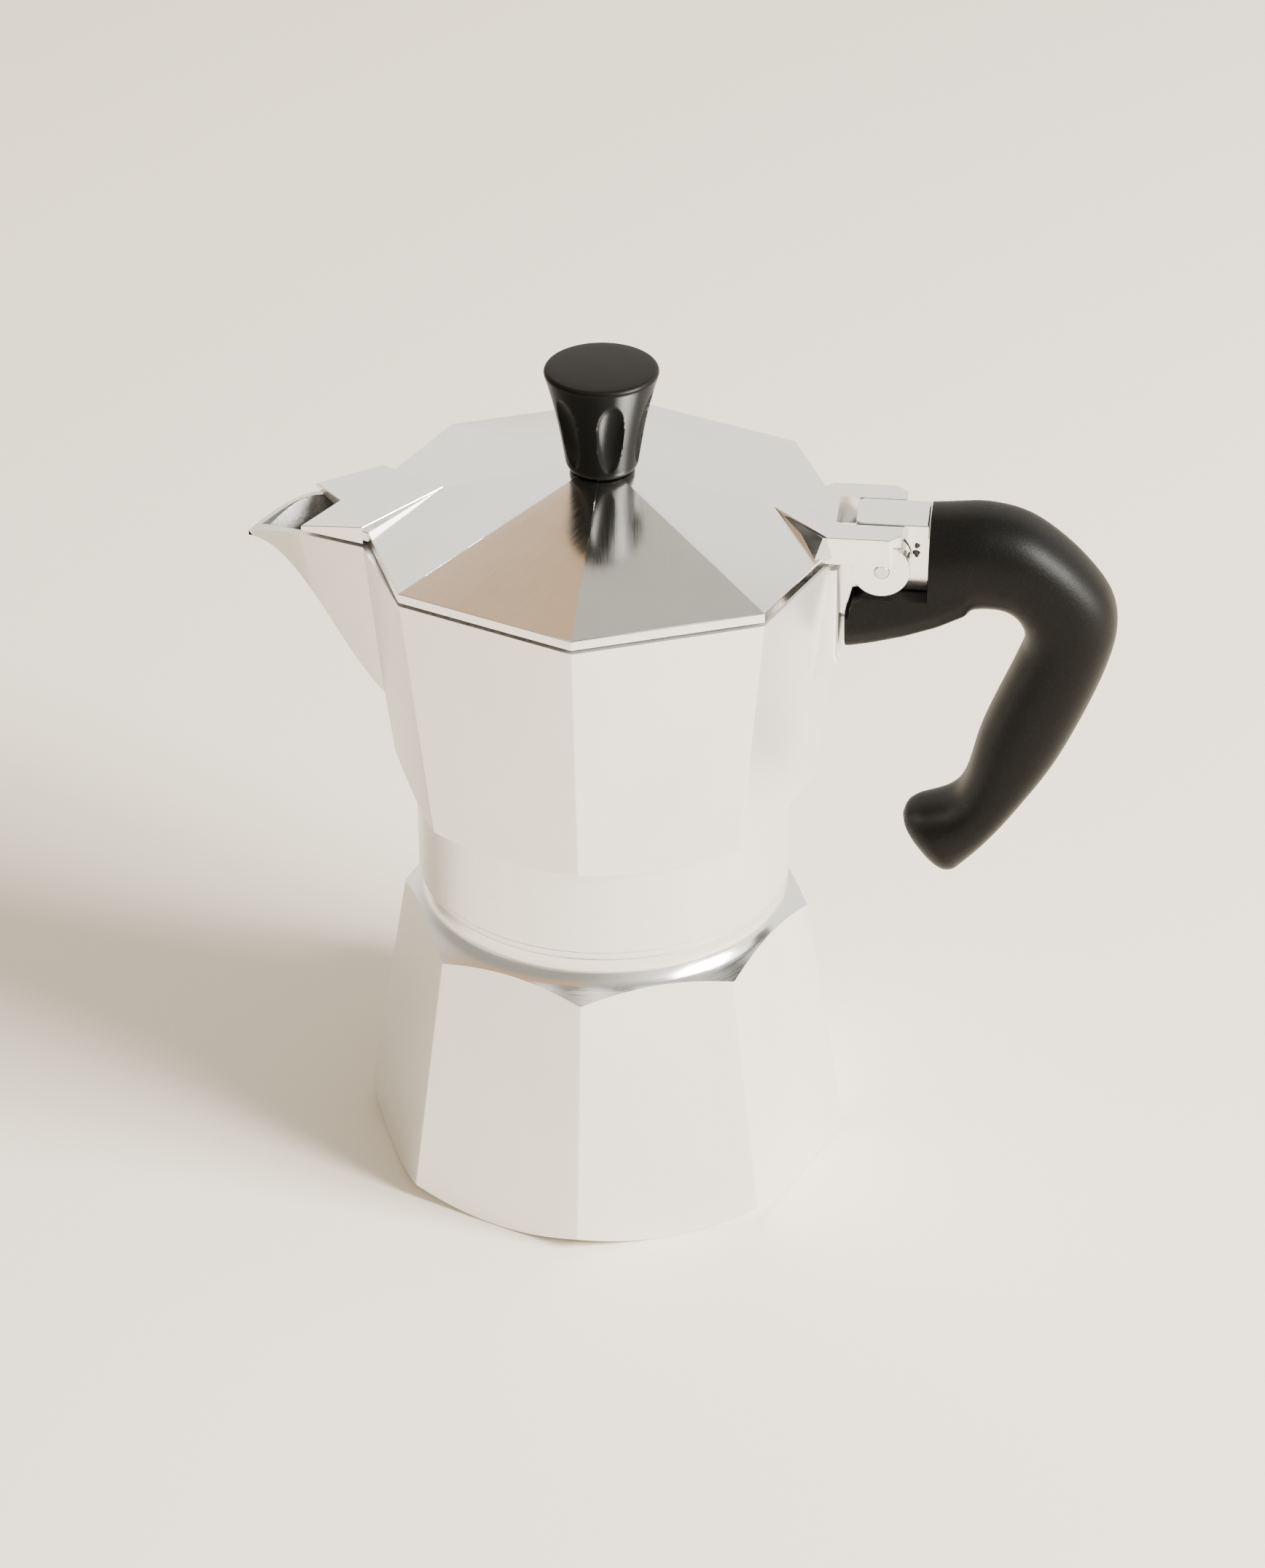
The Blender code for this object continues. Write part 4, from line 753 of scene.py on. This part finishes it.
def from_bmesh(name, bm, finish):
    """An object of a bmesh, with its faces turned out."""
    bmesh.ops.remove_doubles(bm, verts=bm.verts, dist=1e-7)
    bmesh.ops.recalc_face_normals(bm, faces=bm.faces)
    mesh = bpy.data.meshes.new(name)
    bm.to_mesh(mesh)
    bm.free()
    mesh.materials.append(finish.material)
    made = bpy.data.objects.new(name, mesh)
    bpy.context.scene.collection.objects.link(made)
    return made


# %% The outer wedge
def spout_wedge():
    """The outside, with the narrow facets that carry it over to the next two corners."""
    bm, middle, edges = spout_shell(0)
    near, far = edges
    hips = []
    for way in (1, -1):
        angle = pi + way * corner_turn
        hips.append(bm.verts.new((rim_radius * cos(angle), rim_radius * sin(angle), mouth_height)))
    for edge, hip in zip(edges, hips):
        for i in range(spout_steps):
            bm.faces.new((edge[i], edge[i + 1], hip))
    bm.faces.new((middle[0], hips[0], hips[1]))
    bm.faces.new((near[spout_steps], far[spout_steps], hips[1], hips[0]))
    for i in range(spout_steps, len(near) - 2):
        bm.faces.new((near[i], near[i + 1], far[i + 1], far[i]))
    bm.faces.new((near[-2], near[-1], far[-2]))
    return from_bmesh("spout", bm, brushed)


cut(collector, spout_wedge(), "UNION")


# %% The channel, which is cut later
def spout_channel():
    """The spout's hollow, open above its lip and back into the chamber."""
    bm, middle, edges = spout_shell(0.0015)
    near, far = edges
    above = mouth_height + 0.006
    back = Vector((0.009, 0, 0))
    raised = []
    for edge in edges:
        raised.append([bm.verts.new((v.co.x, v.co.y, above)) for v in edge[spout_steps:-1]])
    tip = bm.verts.new((near[-1].co.x, 0, above))
    for edge, row in zip(edges, raised):
        row.append(tip)
        for i in range(len(row) - 1):
            bm.faces.new((edge[spout_steps + i], edge[spout_steps + i + 1], row[i + 1], row[i]))
    foot = bm.verts.new(middle[0].co + back)
    shoulders = [bm.verts.new(edge[spout_steps].co + back) for edge in edges]
    tops = [bm.verts.new(row[0].co + back) for row in raised]
    for edge, row, shoulder, top in zip(edges, raised, shoulders, tops):
        bm.faces.new([*edge[: spout_steps + 1], shoulder, foot])
        bm.faces.new((edge[spout_steps], row[0], top, shoulder))
    bm.faces.new((foot, shoulders[0], tops[0], tops[1], shoulders[1]))
    bm.faces.new([*raised[0], *reversed(raised[1][:-1]), tops[1], tops[0]])
    return from_bmesh("spout_channel", bm, cast)


# %% [markdown]
# ## The lug
#
# The web between the hinge's two arms is milled flat, and it ends in the tang that the handle is
# pushed onto. Its top edges are eased, and its inner end is round, seen from above. Under it, a
# flat boss on the body's corner stops the handle's foot.

# %% Web and tang
hinge_top = lid_low_by_pin + 0.0055
web_half = 0.00483
face_x = pin_x + 0.0083
foot_x = pin_x - 0.0068
boss_x = pin_x - 0.0078
nose_x = pin_x - 0.0053
inside = rim_radius - 0.006
web_top = hinge_top + 0.0002
web_foot = pin_z - 0.0066 + gap
outline = [
    (inside, mouth_height - 0.0125),
    (boss_x + 0.0008, mouth_height - 0.0125),
    (boss_x + 0.0022, web_foot),
    (face_x - gap, web_foot),
    (face_x - gap, pin_z - 0.0044),
    (face_x + 0.014, pin_z - 0.0044),
    (face_x + 0.014, pin_z + 0.0044),
    (face_x - gap, pin_z + 0.0044),
    (face_x - gap, web_top),
    (nose_x, web_top),
    (nose_x, mouth_height - 0.0010),
    (inside, mouth_height - 0.0010),
]
web = prism("lug_web", outline, -web_half, web_half, milled, "Y")
round_edges(web, 0.0014, lambda a, b: steep(a, b) and all(abs(v.x - nose_x) < 1e-5 for v in (a, b)), 6)
round_edges(web, 0.00022, lambda a, b: min(a.z, b.z) > web_top - 1e-5, 2)
cut(collector, web, "UNION")

# %% Boss
boss_low = mouth_height - 0.0205
boss_top_z = mouth_height - 0.0016
boss_half = 0.0088
side = [
    (inside - 0.002, boss_top_z),
    (inside - 0.004, boss_low - 0.004),
    (collector_radius(boss_low - 0.004) - 0.002, boss_low - 0.004),
    (collector_radius(boss_low - 0.004) + 0.0012, boss_low),
    (boss_x, boss_low + 0.0012),
    (boss_x, boss_top_z),
]
boss = prism("lug_boss", side, -boss_half, boss_half, brushed, "Y")
round_edges(boss, 0.0014, lambda a, b: steep(a, b) and min(a.x, b.x) > boss_x - 1e-5, 4)
cut(collector, boss, "UNION")

# %% Hollow, channel and column
floor_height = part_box("gasket")[1].z + gap + 0.0032 + 0.003
column_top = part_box("column_cap")[0].z + 0.005 - gap
thickness = 0.0026 / across_flats
inner = collector_radius(floor_height) - thickness
above = mouth_height + 0.02
hollow = [
    (inner - 0.003, floor_height),
    (inner - 0.0009, floor_height + 0.0009),
    (inner, floor_height + 0.0035),
    (rim_radius - thickness, mouth_height),
    (rim_radius - thickness, above),
]
chamber = ring_stack("hollow", hollow, 8, cast)
round_edges(chamber, 0.002, steep, 4)
cut(collector, chamber)
cut(collector, spout_channel())
column = [(0.0105, floor_height - 0.002), (0.0105, floor_height + 0.0003)]
for i in range(9):
    t = i / 8
    column.append((0.0070 + 0.0032 * (1 - t) ** 2, floor_height + 0.0005 + 0.0055 * t))
column += [(0.0052, column_top - 0.0004), (0.0049, column_top)]
cut(collector, ring_stack("column", column, 72, cast), "UNION")

# %% Bore, inner thread and pin holes
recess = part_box("gasket")[1].z + gap
dome = recess + 0.0032
bore = [
    (thread_bore + 0.0012, collar_low - 0.002),
    (thread_bore + 0.0012, collar_low),
    (thread_bore, collar_low + 0.0008),
    (thread_bore, recess),
    (0.023, recess),
    (0.0057, dome),
    (0.0032, dome + 0.002),
    (0.0032, column_top + 0.002),
]
cut(collector, ring_stack("bore", bore, round_sides, turned))
inner_low = joint_height + 1.05 * thread_pitch
cut(collector, thread("inner_thread", thread_bore, -1, inner_low, thread_turns - 0.5, turned), "UNION")


def rod_along_y(name, x, z, radius, low, high, finish, sides=48):
    return prism(name, arc((x, z), radius, 0, 360 - 360 / sides, sides - 1), low, high, finish, "Y")


cut(collector, rod_along_y("pin_hole", pin_x, pin_z, pin_bore, -0.02, 0.02, milled))

# %% [markdown]
# Where the tang meets the handle, the web was struck twice with a punch, which keeps the two from
# working loose. The dents are torn, and the shade in them is painted: their faces get a near-black
# metal. Two small spheres, squashed and roughened, cut them.

# %% Punch marks and the hole for the handle's small pin
# Near-black metal for the dents' faces: painted shade in the dents.
punch_dent_shade = turned_metal("punch_dent_painted_shade", (0.03, 0.03, 0.03), (0.12, 0.115, 0.11), 0.4)
for i, (x, z, size) in enumerate([(0.00600, 0.00290, 0.00050), (0.00590, 0.00130, 0.00062)]):
    bpy.ops.object.select_all(action="DESELECT")
    bpy.ops.mesh.primitive_ico_sphere_add(subdivisions=3, radius=size)
    dent = bpy.context.object
    dent.name = f"punch_{i}"
    for vertex in dent.data.vertices:
        co = vertex.co
        torn = 1 + 0.30 * sin(co.x * 5200 + i) * cos(co.z * 4300 + 2 * i)
        vertex.co = (pin_x + x + co.x * torn, -web_half + co.y * 0.5, pin_z + z + co.z * torn * 1.15)
    dent.data.materials.append(punch_dent_shade.material)
    cut(collector, dent)

small_pin_drop = 0.0152
small_pin_radius = 0.0011
small_pin_hole = 0.00125
small_pin_depth = 0.0022
small_pin_spot = ((boss_x + foot_x) / 2, 0, pin_z - small_pin_drop)
small_pin_place = Matrix.Translation(small_pin_spot) @ Matrix.Rotation(pi / 2, 4, "Y")
drill = ring_stack("drill", [(small_pin_hole, -0.0024), (small_pin_hole, 0.010)], 32, cast)
drill.data.transform(small_pin_place)
cut(collector, drill)
hand_over(collector, "collector_body", "satin_aluminium", "collector")

# %% [markdown]
# ## The lid
#
# The lid is a shallow eight-sided roof with a rim, cast in one piece with a tongue over the spout
# and the hinge's plate. Each of its ridges is sharp, and buffing has eased it by about a tenth of
# a millimetre, which is what catches the light along the rim.

# %% Roof
rim_height = 0.0018
roof_rise = 0.0118
apex = lid_low_by_pin + rim_height + roof_rise
seat_radius = 0.0060
seat_height = apex - roof_rise * seat_radius / rim_radius - 0.0002
spare = 0.001
roof_foot = lid_low_by_pin + rim_height
lid = ring_stack(
    "lid_roof",
    [(rim_radius, lid_low_by_pin - spare), (rim_radius, roof_foot), (seat_radius, seat_height)],
    8,
    buffed,
)
round_edges(lid, 0.00016, lambda a, b: max(a.z, b.z) > lid_low_by_pin, 2)

# %% Tongue over the spout
start = 0.0295
start_height = apex - roof_rise * start / rim_radius
tongue_wide = (rim_radius - 0.0038, 0.0122)
tongue_end = (rim_radius + 0.0083, 0.0083)
fall = 0.206
outline = [
    (-start, 0),
    (-tongue_wide[0], tongue_wide[1]),
    (-tongue_end[0], tongue_end[1]),
    (-(tongue_end[0] - 0.0060), 0),
    (-tongue_end[0], -tongue_end[1]),
    (-tongue_wide[0], -tongue_wide[1]),
]
tongue = prism("tongue", outline, lid_low_by_pin - spare, apex, buffed)
for vertex in tongue.data.vertices:
    if vertex.co.z > lid_low_by_pin:
        vertex.co.z = start_height + fall * (vertex.co.x + start)
round_edges(tongue, 0.00012, lambda a, b: min(a.z, b.z) > lid_low_by_pin, 2)
cut(lid, tongue, "UNION")

# %% Hinge plate
plate_half = 0.0106
plate_end = pin_x + 0.0036
plate_inner = rim_radius - 0.0043
plate_start = rim_radius * 0.68
outline = [
    (plate_start, 0),
    (plate_inner, -plate_half),
    (plate_end - 0.0022, -plate_half),
    (plate_end, -plate_half + 0.0022),
    (plate_end, plate_half - 0.0022),
    (plate_end - 0.0022, plate_half),
    (plate_inner, plate_half),
]
plate = prism("hinge_plate", outline, lid_low_by_pin - spare, hinge_top, buffed)
round_edges(plate, 0.0002, lambda a, b: min(a.z, b.z) > hinge_top - 1e-5 and max(a.x, b.x) > plate_inner, 2)
cut(lid, plate, "UNION")
cheek_low = roof_foot - 0.0006
cheek_high = hinge_top - 0.0003
cheek_x = rim_radius - 0.0067
bm = bmesh.new()
rows = []
for reach_in, x_side, spread, z in (
    (plate_start, cheek_x, 0.003, cheek_low),
    (plate_start + 0.001, plate_inner - 0.0008, -0.0002, cheek_high),
):
    end_x = plate_inner + (0.001 if z == cheek_low else 0)
    half = plate_half + min(spread, 0)
    ring = [(reach_in, -0.0008), (x_side, -plate_half - spread), (end_x, -half)]
    ring += [(x, -y) for x, y in reversed(ring)]
    rows.append([bm.verts.new((x, y, z)) for x, y in ring])
for i in range(6):
    j = (i + 1) % 6
    bm.faces.new((rows[0][i], rows[0][j], rows[1][j], rows[1][i]))
bm.faces.new(reversed(rows[0]))
bm.faces.new(rows[1])
cut(lid, from_bmesh("cheeks", bm, buffed), "UNION")

# %% Underside, slot and knuckles
skim = 2 * rim_radius
square = [(-skim, -skim), (skim, -skim), (skim, skim), (-skim, skim)]
cut(lid, prism("facing", square, lid_low_by_pin - 3 * spare, lid_low_by_pin, milled))
inner = rim_radius - 0.0018 * 1.4
slot_x = pin_x - 0.0088
root_x = slot_x - 0.0018
hollow = ring_stack(
    "hollow",
    [
        (inner + 0.0001, lid_low_by_pin - 0.002),
        (inner, lid_low_by_pin + rim_height * 0.55),
        (seat_radius + 0.002, seat_height - 0.0018 - gap),
    ],
    8,
    cast,
)
root = [(root_x, -skim), (root_x + skim, -skim), (root_x + skim, skim), (root_x, skim)]
cut(hollow, prism("root", root, lid_low_by_pin - 3 * spare, apex, cast))
cut(lid, hollow)
slot_half = web_half + 0.00042
slot_end = plate_end + spare
slot = [(slot_x, -slot_half), (slot_end, -slot_half), (slot_end, slot_half), (slot_x, slot_half)]
cut(lid, prism("slot", slot, lid_low_by_pin - 3 * spare, hinge_top + spare, milled))
for way in (-1, 1):
    low, high = sorted((way * (slot_half + 0.0001), way * (plate_half - 0.0004)))
    knuckle = rod_along_y("knuckle", pin_x - 0.0002, pin_z + 0.0003, 0.0053, low, high, milled, 72)
    round_edges(knuckle, 0.00015, lambda a, b: abs(a.y - b.y) < 1e-6 and abs(a.y) > plate_half - 0.00045, 2)
    cut(lid, knuckle, "UNION")
cut(lid, rod_along_y("pin_hole", pin_x, pin_z, pin_bore, -0.02, 0.02, milled))
screw_hole = [(0.0023, seat_height - 0.01), (0.0023, seat_height + 0.01)]
cut(lid, ring_stack("screw_hole", screw_hole, 40, milled))
hand_over(lid, "lid_body", "polished_aluminium", "lid")

# %% [markdown]
# ## The hinge pin
#
# A steel pin goes through both knuckles. Its ends are faced off and just proud of them, with an
# eased edge, so that each shows as a bright dot in a dark ring.

# %% Pin
pin_half = plate_half - 0.0002
pin = rod_along_y("hinge_rod", pin_x, pin_z, pin_radius, -pin_half, pin_half, steel)
round_edges(pin, 0.00018, lambda a, b: abs(a.y - b.y) < 1e-6, 3)
hand_over(pin, "collector_body", "steel", "hinge_pin")

# %% [markdown]
# ## The knob
#
# The knob flares from a narrow foot to a flat top, with six long oval hollows for the fingers. It
# is turned first, from a formula for its outline, and then each point is moved inwards where a
# flute lies over it. Moving the points is better here than cutting, because the flutes run out
# softly at their ends.

# %% The flared body
knob_low = seat_height + gap
knob_height = 0.0204
knob_foot = 0.0065
knob_edge = 0.0009
knob_top = 0.0105


def knob_radius(t):
    return knob_foot + (knob_top - knob_foot) * (0.7 * t + 0.3 * t**2.6)


outline = [
    (knob_foot - 0.0007, knob_low),
    (knob_foot - 0.0003, knob_low + 0.0003),
    (knob_foot, knob_low + 0.0008),
]
body_height = knob_height - knob_edge - 0.0003
outline += [(knob_radius(i / 60), knob_low + body_height * i / 60) for i in range(4, 61)]
outline += arc((knob_top - knob_edge, knob_low + body_height), knob_edge, 12, 85, 7)
knob_high = knob_low + knob_height
outline += [(knob_top * 0.75, knob_high - 0.0002), (knob_top * 0.4, knob_high - 0.00005)]
outline += [(0.0004, knob_high)]
gloss = moulded_gloss(knob_high - 0.0007)
knob = ring_stack("lid_knob", outline, 216, gloss)

# %% Six oval flutes
flute_depth = 0.0013
for vertex in knob.data.vertices:
    t = (vertex.co.z - knob_low) / body_height
    turn = (atan2(vertex.co.y, vertex.co.x) - radians(-72) + pi / 6) % (pi / 3) - pi / 6
    lens = 1 - (turn / radians(18)) ** 2 - ((t - 0.475) / 0.385) ** 2
    if lens > 0:
        share = 1 - flute_depth * lens**0.6 / vertex.co.xy.length
        vertex.co.x *= share
        vertex.co.y *= share
cut(knob, ring_stack("socket", [(0.0036, knob_low - 0.001), (0.0036, knob_low + 0.0103)], 48, gloss))
hand_over(knob, "lid_body", "black_knob", "knob", smooth=35)

# %% [markdown]
# ## The handle
#
# The handle is one moulding: a rounded bar that leaves the hinge, bends down sharply and ends in
# a small heel, and an arm under the hinge that ends against the boss. The bar is laid between two
# rails, its outer and its inner side, so that both outlines are under control. Bar and arm are
# then joined, remeshed with small voxels and smoothed, which melts their joint into the soft
# fillet of a real mould. The cradle and the pocket for the tang are cut last, so they stay crisp.

# %% Rails
rails = (
    ((0.0042, 0.0078), (0.0042, -0.0166), 0.0093),
    ((0.0110, 0.0082), (0.0110, -0.0125), 0.0093),
    ((0.0193, 0.0086), (0.0176, -0.0106), 0.0093),
    ((0.0278, 0.0060), (0.0226, -0.0109), 0.0093),
    ((0.0372, -0.0018), (0.0254, -0.0137), 0.0092),
    ((0.0428, -0.0107), (0.0262, -0.0177), 0.0091),
    ((0.0417, -0.0217), (0.0247, -0.0226), 0.0089),
    ((0.0343, -0.0406), (0.0191, -0.0370), 0.0087),
    ((0.0268, -0.0530), (0.0162, -0.0484), 0.0086),
    ((0.0208, -0.0613), (0.0132, -0.0529), 0.0085),
    ((0.0154, -0.0676), (0.0072, -0.0549), 0.0081),
)
heel = (
    ((0.0139, -0.0683), (0.0054, -0.0559), 0.0070),
    ((0.0122, -0.0677), (0.0047, -0.0578), 0.0052),
    ((0.0098, -0.0655), (0.0056, -0.0602), 0.0022),
)


def smooth_rails(knots, steps):
    """Catmull-Rom curves through the matched points of both rails."""
    flat = [(*outer, *inner, width) for outer, inner, width in knots]
    padded = [flat[0], *flat, flat[-1]]
    rows = []
    for i in range(len(flat) - 1):
        for k in range(steps):
            t = k / steps
            row = []
            for p, q, r, s in zip(*padded[i : i + 4]):
                bend = 2 * p - 5 * q + 4 * r - s
                twist = 3 * q - p - 3 * r + s
                row.append(0.5 * (2 * q + (r - p) * t + bend * t**2 + twist * t**3))
            rows.append(row)
    rows.append(list(flat[-1]))
    return rows


def section(row, count=40):
    """A rounded ring between a point of the outer rail and one of the inner rail."""
    outer, inner, width = row[0:2], row[2:4], row[4]
    ring = []
    for k in range(count):
        angle = 2 * pi * k / count
        c, s = cos(angle), sin(angle)
        power = 2 / 2.4
        across = width * abs(s) ** power * (1 if s > 0 else -1)
        share = 0.5 + 0.5 * abs(c) ** power * (1 if c > 0 else -1)
        x, z = (n + (o - n) * share for o, n in zip(outer, inner))
        ring.append((pin_x + x, across, pin_z + z))
    return ring


def skin(name, rings, finish):
    """Lays faces between rings of equally many points, and closes both ends."""
    bm = bmesh.new()
    rows = [[bm.verts.new(point) for point in ring] for ring in rings]
    for low, high in zip(rows, rows[1:]):
        for i in range(len(low)):
            j = (i + 1) % len(low)
            bm.faces.new((low[i], low[j], high[j], high[i]))
    bm.faces.new(reversed(rows[0]))
    bm.faces.new(rows[-1])
    return from_bmesh(name, bm, finish)


stations = smooth_rails(rails, 7) + [[*outer, *inner, width] for outer, inner, width in heel]
handle = skin("handle_moulding", [section(row) for row in stations], resin)

# %% The arm under the hinge
arm_top = -0.0066 + 0.004
arm = []
for out, low, half, high in (
    (0, -0.0193, 0.0084, -0.0060),
    (0.0050, -0.0181, 0.0088, arm_top),
    (0.0110, -0.0163, 0.0091, arm_top),
    (0.0170, -0.0140, 0.0092, arm_top),
    (0.0225, -0.0112, 0.0090, arm_top),
):
    ring = [(half * 0.50, low), (half * 0.86, low + 0.0016), (half, low + 0.0048), (half, high)]
    ring = [(-y, z) for y, z in ring] + list(reversed(ring))
    arm.append([(foot_x + out, y, pin_z + z) for y, z in ring])
cut(handle, skin("arm", arm, resin), "UNION")

# %% Melt them together
only(handle)
bpy.ops.object.modifier_add(type="REMESH")
remesh = handle.modifiers[-1]
remesh.mode = "VOXEL"
remesh.voxel_size = 0.0005
bpy.ops.object.modifier_apply(modifier=remesh.name)
bpy.ops.object.modifier_add(type="SMOOTH")
smooth = handle.modifiers[-1]
smooth.factor = 0.5
smooth.iterations = 14
bpy.ops.object.modifier_apply(modifier=smooth.name)
print("the handle has", len(handle.data.polygons), "faces after remeshing")

# %% Cradle, pocket, face and the small pin's hole
cradle_z = pin_z - 0.0066
far = pin_x - 0.03
up = pin_z + 0.03
cradle = [
    (far, cradle_z - 0.0048),
    (foot_x + 0.0006, cradle_z - 0.0048),
    (foot_x + 0.0014, cradle_z - 0.0016),
    (foot_x + 0.0034, cradle_z),
    (face_x, cradle_z),
    (face_x, up),
    (far, up),
]
cut(handle, prism("cradle", cradle, -0.02, 0.02, resin, "Y"))
square = [(far, pin_z - 0.03), (foot_x, pin_z - 0.03), (foot_x, up), (far, up)]
cut(handle, prism("foot_face", square, -0.02, 0.02, resin, "Y"))
pocket = [
    (face_x - 0.003, pin_z - 0.0047),
    (face_x + 0.0143, pin_z - 0.0047),
    (face_x + 0.0143, pin_z + 0.0047),
    (face_x - 0.003, pin_z + 0.0047),
]
cut(handle, prism("pocket", pocket, -web_half - gap, web_half + gap, resin, "Y"))
drill = ring_stack("drill", [(small_pin_hole, -0.010), (small_pin_hole, 0.0053)], 32, resin)
drill.data.transform(small_pin_place)
cut(handle, drill)
hand_over(handle, "collector_body", "black_handle", "handle", smooth=30)

# %% [markdown]
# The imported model's small pin goes on through the wall into the chamber. This one is shorter, and
# ends in a blind hole in the boss.

# %% The small pin between the handle's foot and the boss
small_pin_outline = [(small_pin_radius, -small_pin_depth), (small_pin_radius, 0.005)]
small_pin = ring_stack("foot_pin", small_pin_outline, 32, steel)
small_pin.data.transform(small_pin_place)
hand_over(small_pin, "collector_body", "steel", "handle_pin", smooth=30)

# %% [markdown]
# ## Pieces that the frame already has
#
# The funnel, its screen, the gasket, the filter plate, the column's cap and the small fittings
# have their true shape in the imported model, but its meshes are loose triangles without smooth
# shading. A copy is merged, its flat areas are dissolved into single faces, and its round parts
# are smoothed. The copy then stands for the node.

# %% Merge, dissolve and smooth a copy
def finished_copy(node, body, slot, finish):
    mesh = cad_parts[node].data.copy()
    piece = bpy.data.objects.new(f"{node}_finished", mesh)
    bpy.context.scene.collection.objects.link(piece)
    mesh.materials.clear()
    mesh.materials.append(finish.material)
    in_edit_mode(piece)
    bpy.ops.mesh.remove_doubles(threshold=1e-6)
    bpy.ops.mesh.dissolve_limited(angle_limit=radians(0.5))
    face_out()
    return hand_over(piece, body, slot, node, smooth=30)


for node, body, slot, finish in (
    ("valve_washer", "boiler_body", "fibre", fibre),
    ("valve_seal", "valve_plunger", "silicone", silicone),
    ("valve_pin", "valve_plunger", "brass", brass),
    ("valve_spring", "valve_plunger", "steel", steel),
    ("funnel", "boiler_body", "pressed_aluminium", pressed),
    ("funnel_screen", "boiler_body", "pressed_aluminium", pressed),
    ("gasket", "seal", "silicone", silicone),
    ("filter_plate", "seal", "pressed_aluminium", pressed),
    ("column_cap", "collector_body", "pressed_aluminium", pressed),
    ("knob_insert", "lid_body", "brass", brass),
    ("knob_washer", "lid_body", "steel", steel),
    ("knob_screw", "lid_body", "steel", steel),
):
    finished_copy(node, body, slot, finish)

# %% [markdown]
# ## Floor, light and camera
#
# Polished metal shows its surroundings, so the surroundings are half of its look. The floor is
# one pale warm sheet. The walls of the studio are as pale on the right and behind, and darker on
# the left and in front. Above about forty degrees the room turns to a soft grey and, on the left,
# to a light brown, and the roof of the lid mirrors that. A large soft light stands on the right,
# and its shadow falls far to the left.

# %% Floor
bpy.ops.object.select_all(action="DESELECT")
bpy.ops.mesh.primitive_plane_add(size=14)
floor = bpy.context.object
floor.name = "studio_floor"
paper = Finish("warm_paper", (0.82, 0.755, 0.645), 0.85)
x, y, z = paper.axes()
fleck = paper.noise(x * 900, y * 900, z, detail=2)
paper.feed("Base Color", paper.blend(fleck, (0.805, 0.74, 0.63), (0.835, 0.77, 0.66)))
floor.data.materials.append(paper.material)

# %% The room that the metal mirrors
room = bpy.data.worlds.new("studio")
room.use_nodes = True
bpy.context.scene.world = room


class Room(Finish):
    """The world's nodes, made with the same method as a finish's."""

    def __init__(self, world):
        self.tree = world.node_tree
        self.shader = self.tree.nodes["Background"]


air = Room(room)
toward = air.node("ShaderNodeTexCoord", output="Generated")
east, north, height = air.node("ShaderNodeSeparateXYZ", inputs={0: toward}, output=("X", "Y", "Z"))
around = air.node("ShaderNodeMath", {"operation": "ARCTAN2"}, {0: north, 1: east})
drift = air.noise(around * 1.7, height * 2.5, 0.0, detail=2)
west = air.limits(east + (drift - 0.5) * 0.12, -0.03, -0.16)
upper = air.blend(west, (0.36, 0.35, 0.295), (0.45, 0.305, 0.18))
wave = air.node("ShaderNodeMath", {"operation": "SINE"}, {0: east * 21 + drift * 4})
ceiling = air.blend(air.limits(wave, -0.15, 0.45), (0.02, 0.02, 0.02), (1.0, 0.98, 0.94))
bright = air.limits(east * 0.8 + north * 0.6, -0.75, 0.35)
low = air.blend(bright, (0.26, 0.24, 0.20), (0.98, 0.93, 0.83))
tone = air.blend(air.limits(height, 0.60, 0.80), low, upper)
air.feed("Color", air.blend(air.limits(height, 0.88, 0.95), tone, ceiling))
air.feed("Strength", 1.9)

# %% The light
def soft_light(name, spot, size, power, colour):
    """A square area light that faces the middle of the pot."""
    lamp = bpy.data.lights.new(name, "AREA")
    lamp.size = size
    lamp.energy = power
    lamp.color = colour
    made = bpy.data.objects.new(name, lamp)
    bpy.context.scene.collection.objects.link(made)
    made.location = spot
    aim = Vector((0, 0, 0.07)) - made.location
    made.rotation_euler = aim.to_track_quat("-Z", "Y").to_euler()


soft_light("key", (1.35, -0.45, 0.95), 0.7, 131, (1.0, 0.975, 0.92))

# %% The camera
eye = bpy.data.cameras.new("camera")
eye.lens = 105.9
eye.sensor_width = 36
camera = bpy.data.objects.new("camera", eye)
bpy.context.scene.collection.objects.link(camera)
camera.location = (0.09111, -0.73955, 0.54242)
camera.rotation_euler = (radians(57.954), radians(0.171), radians(6.505))
bpy.context.scene.camera = camera
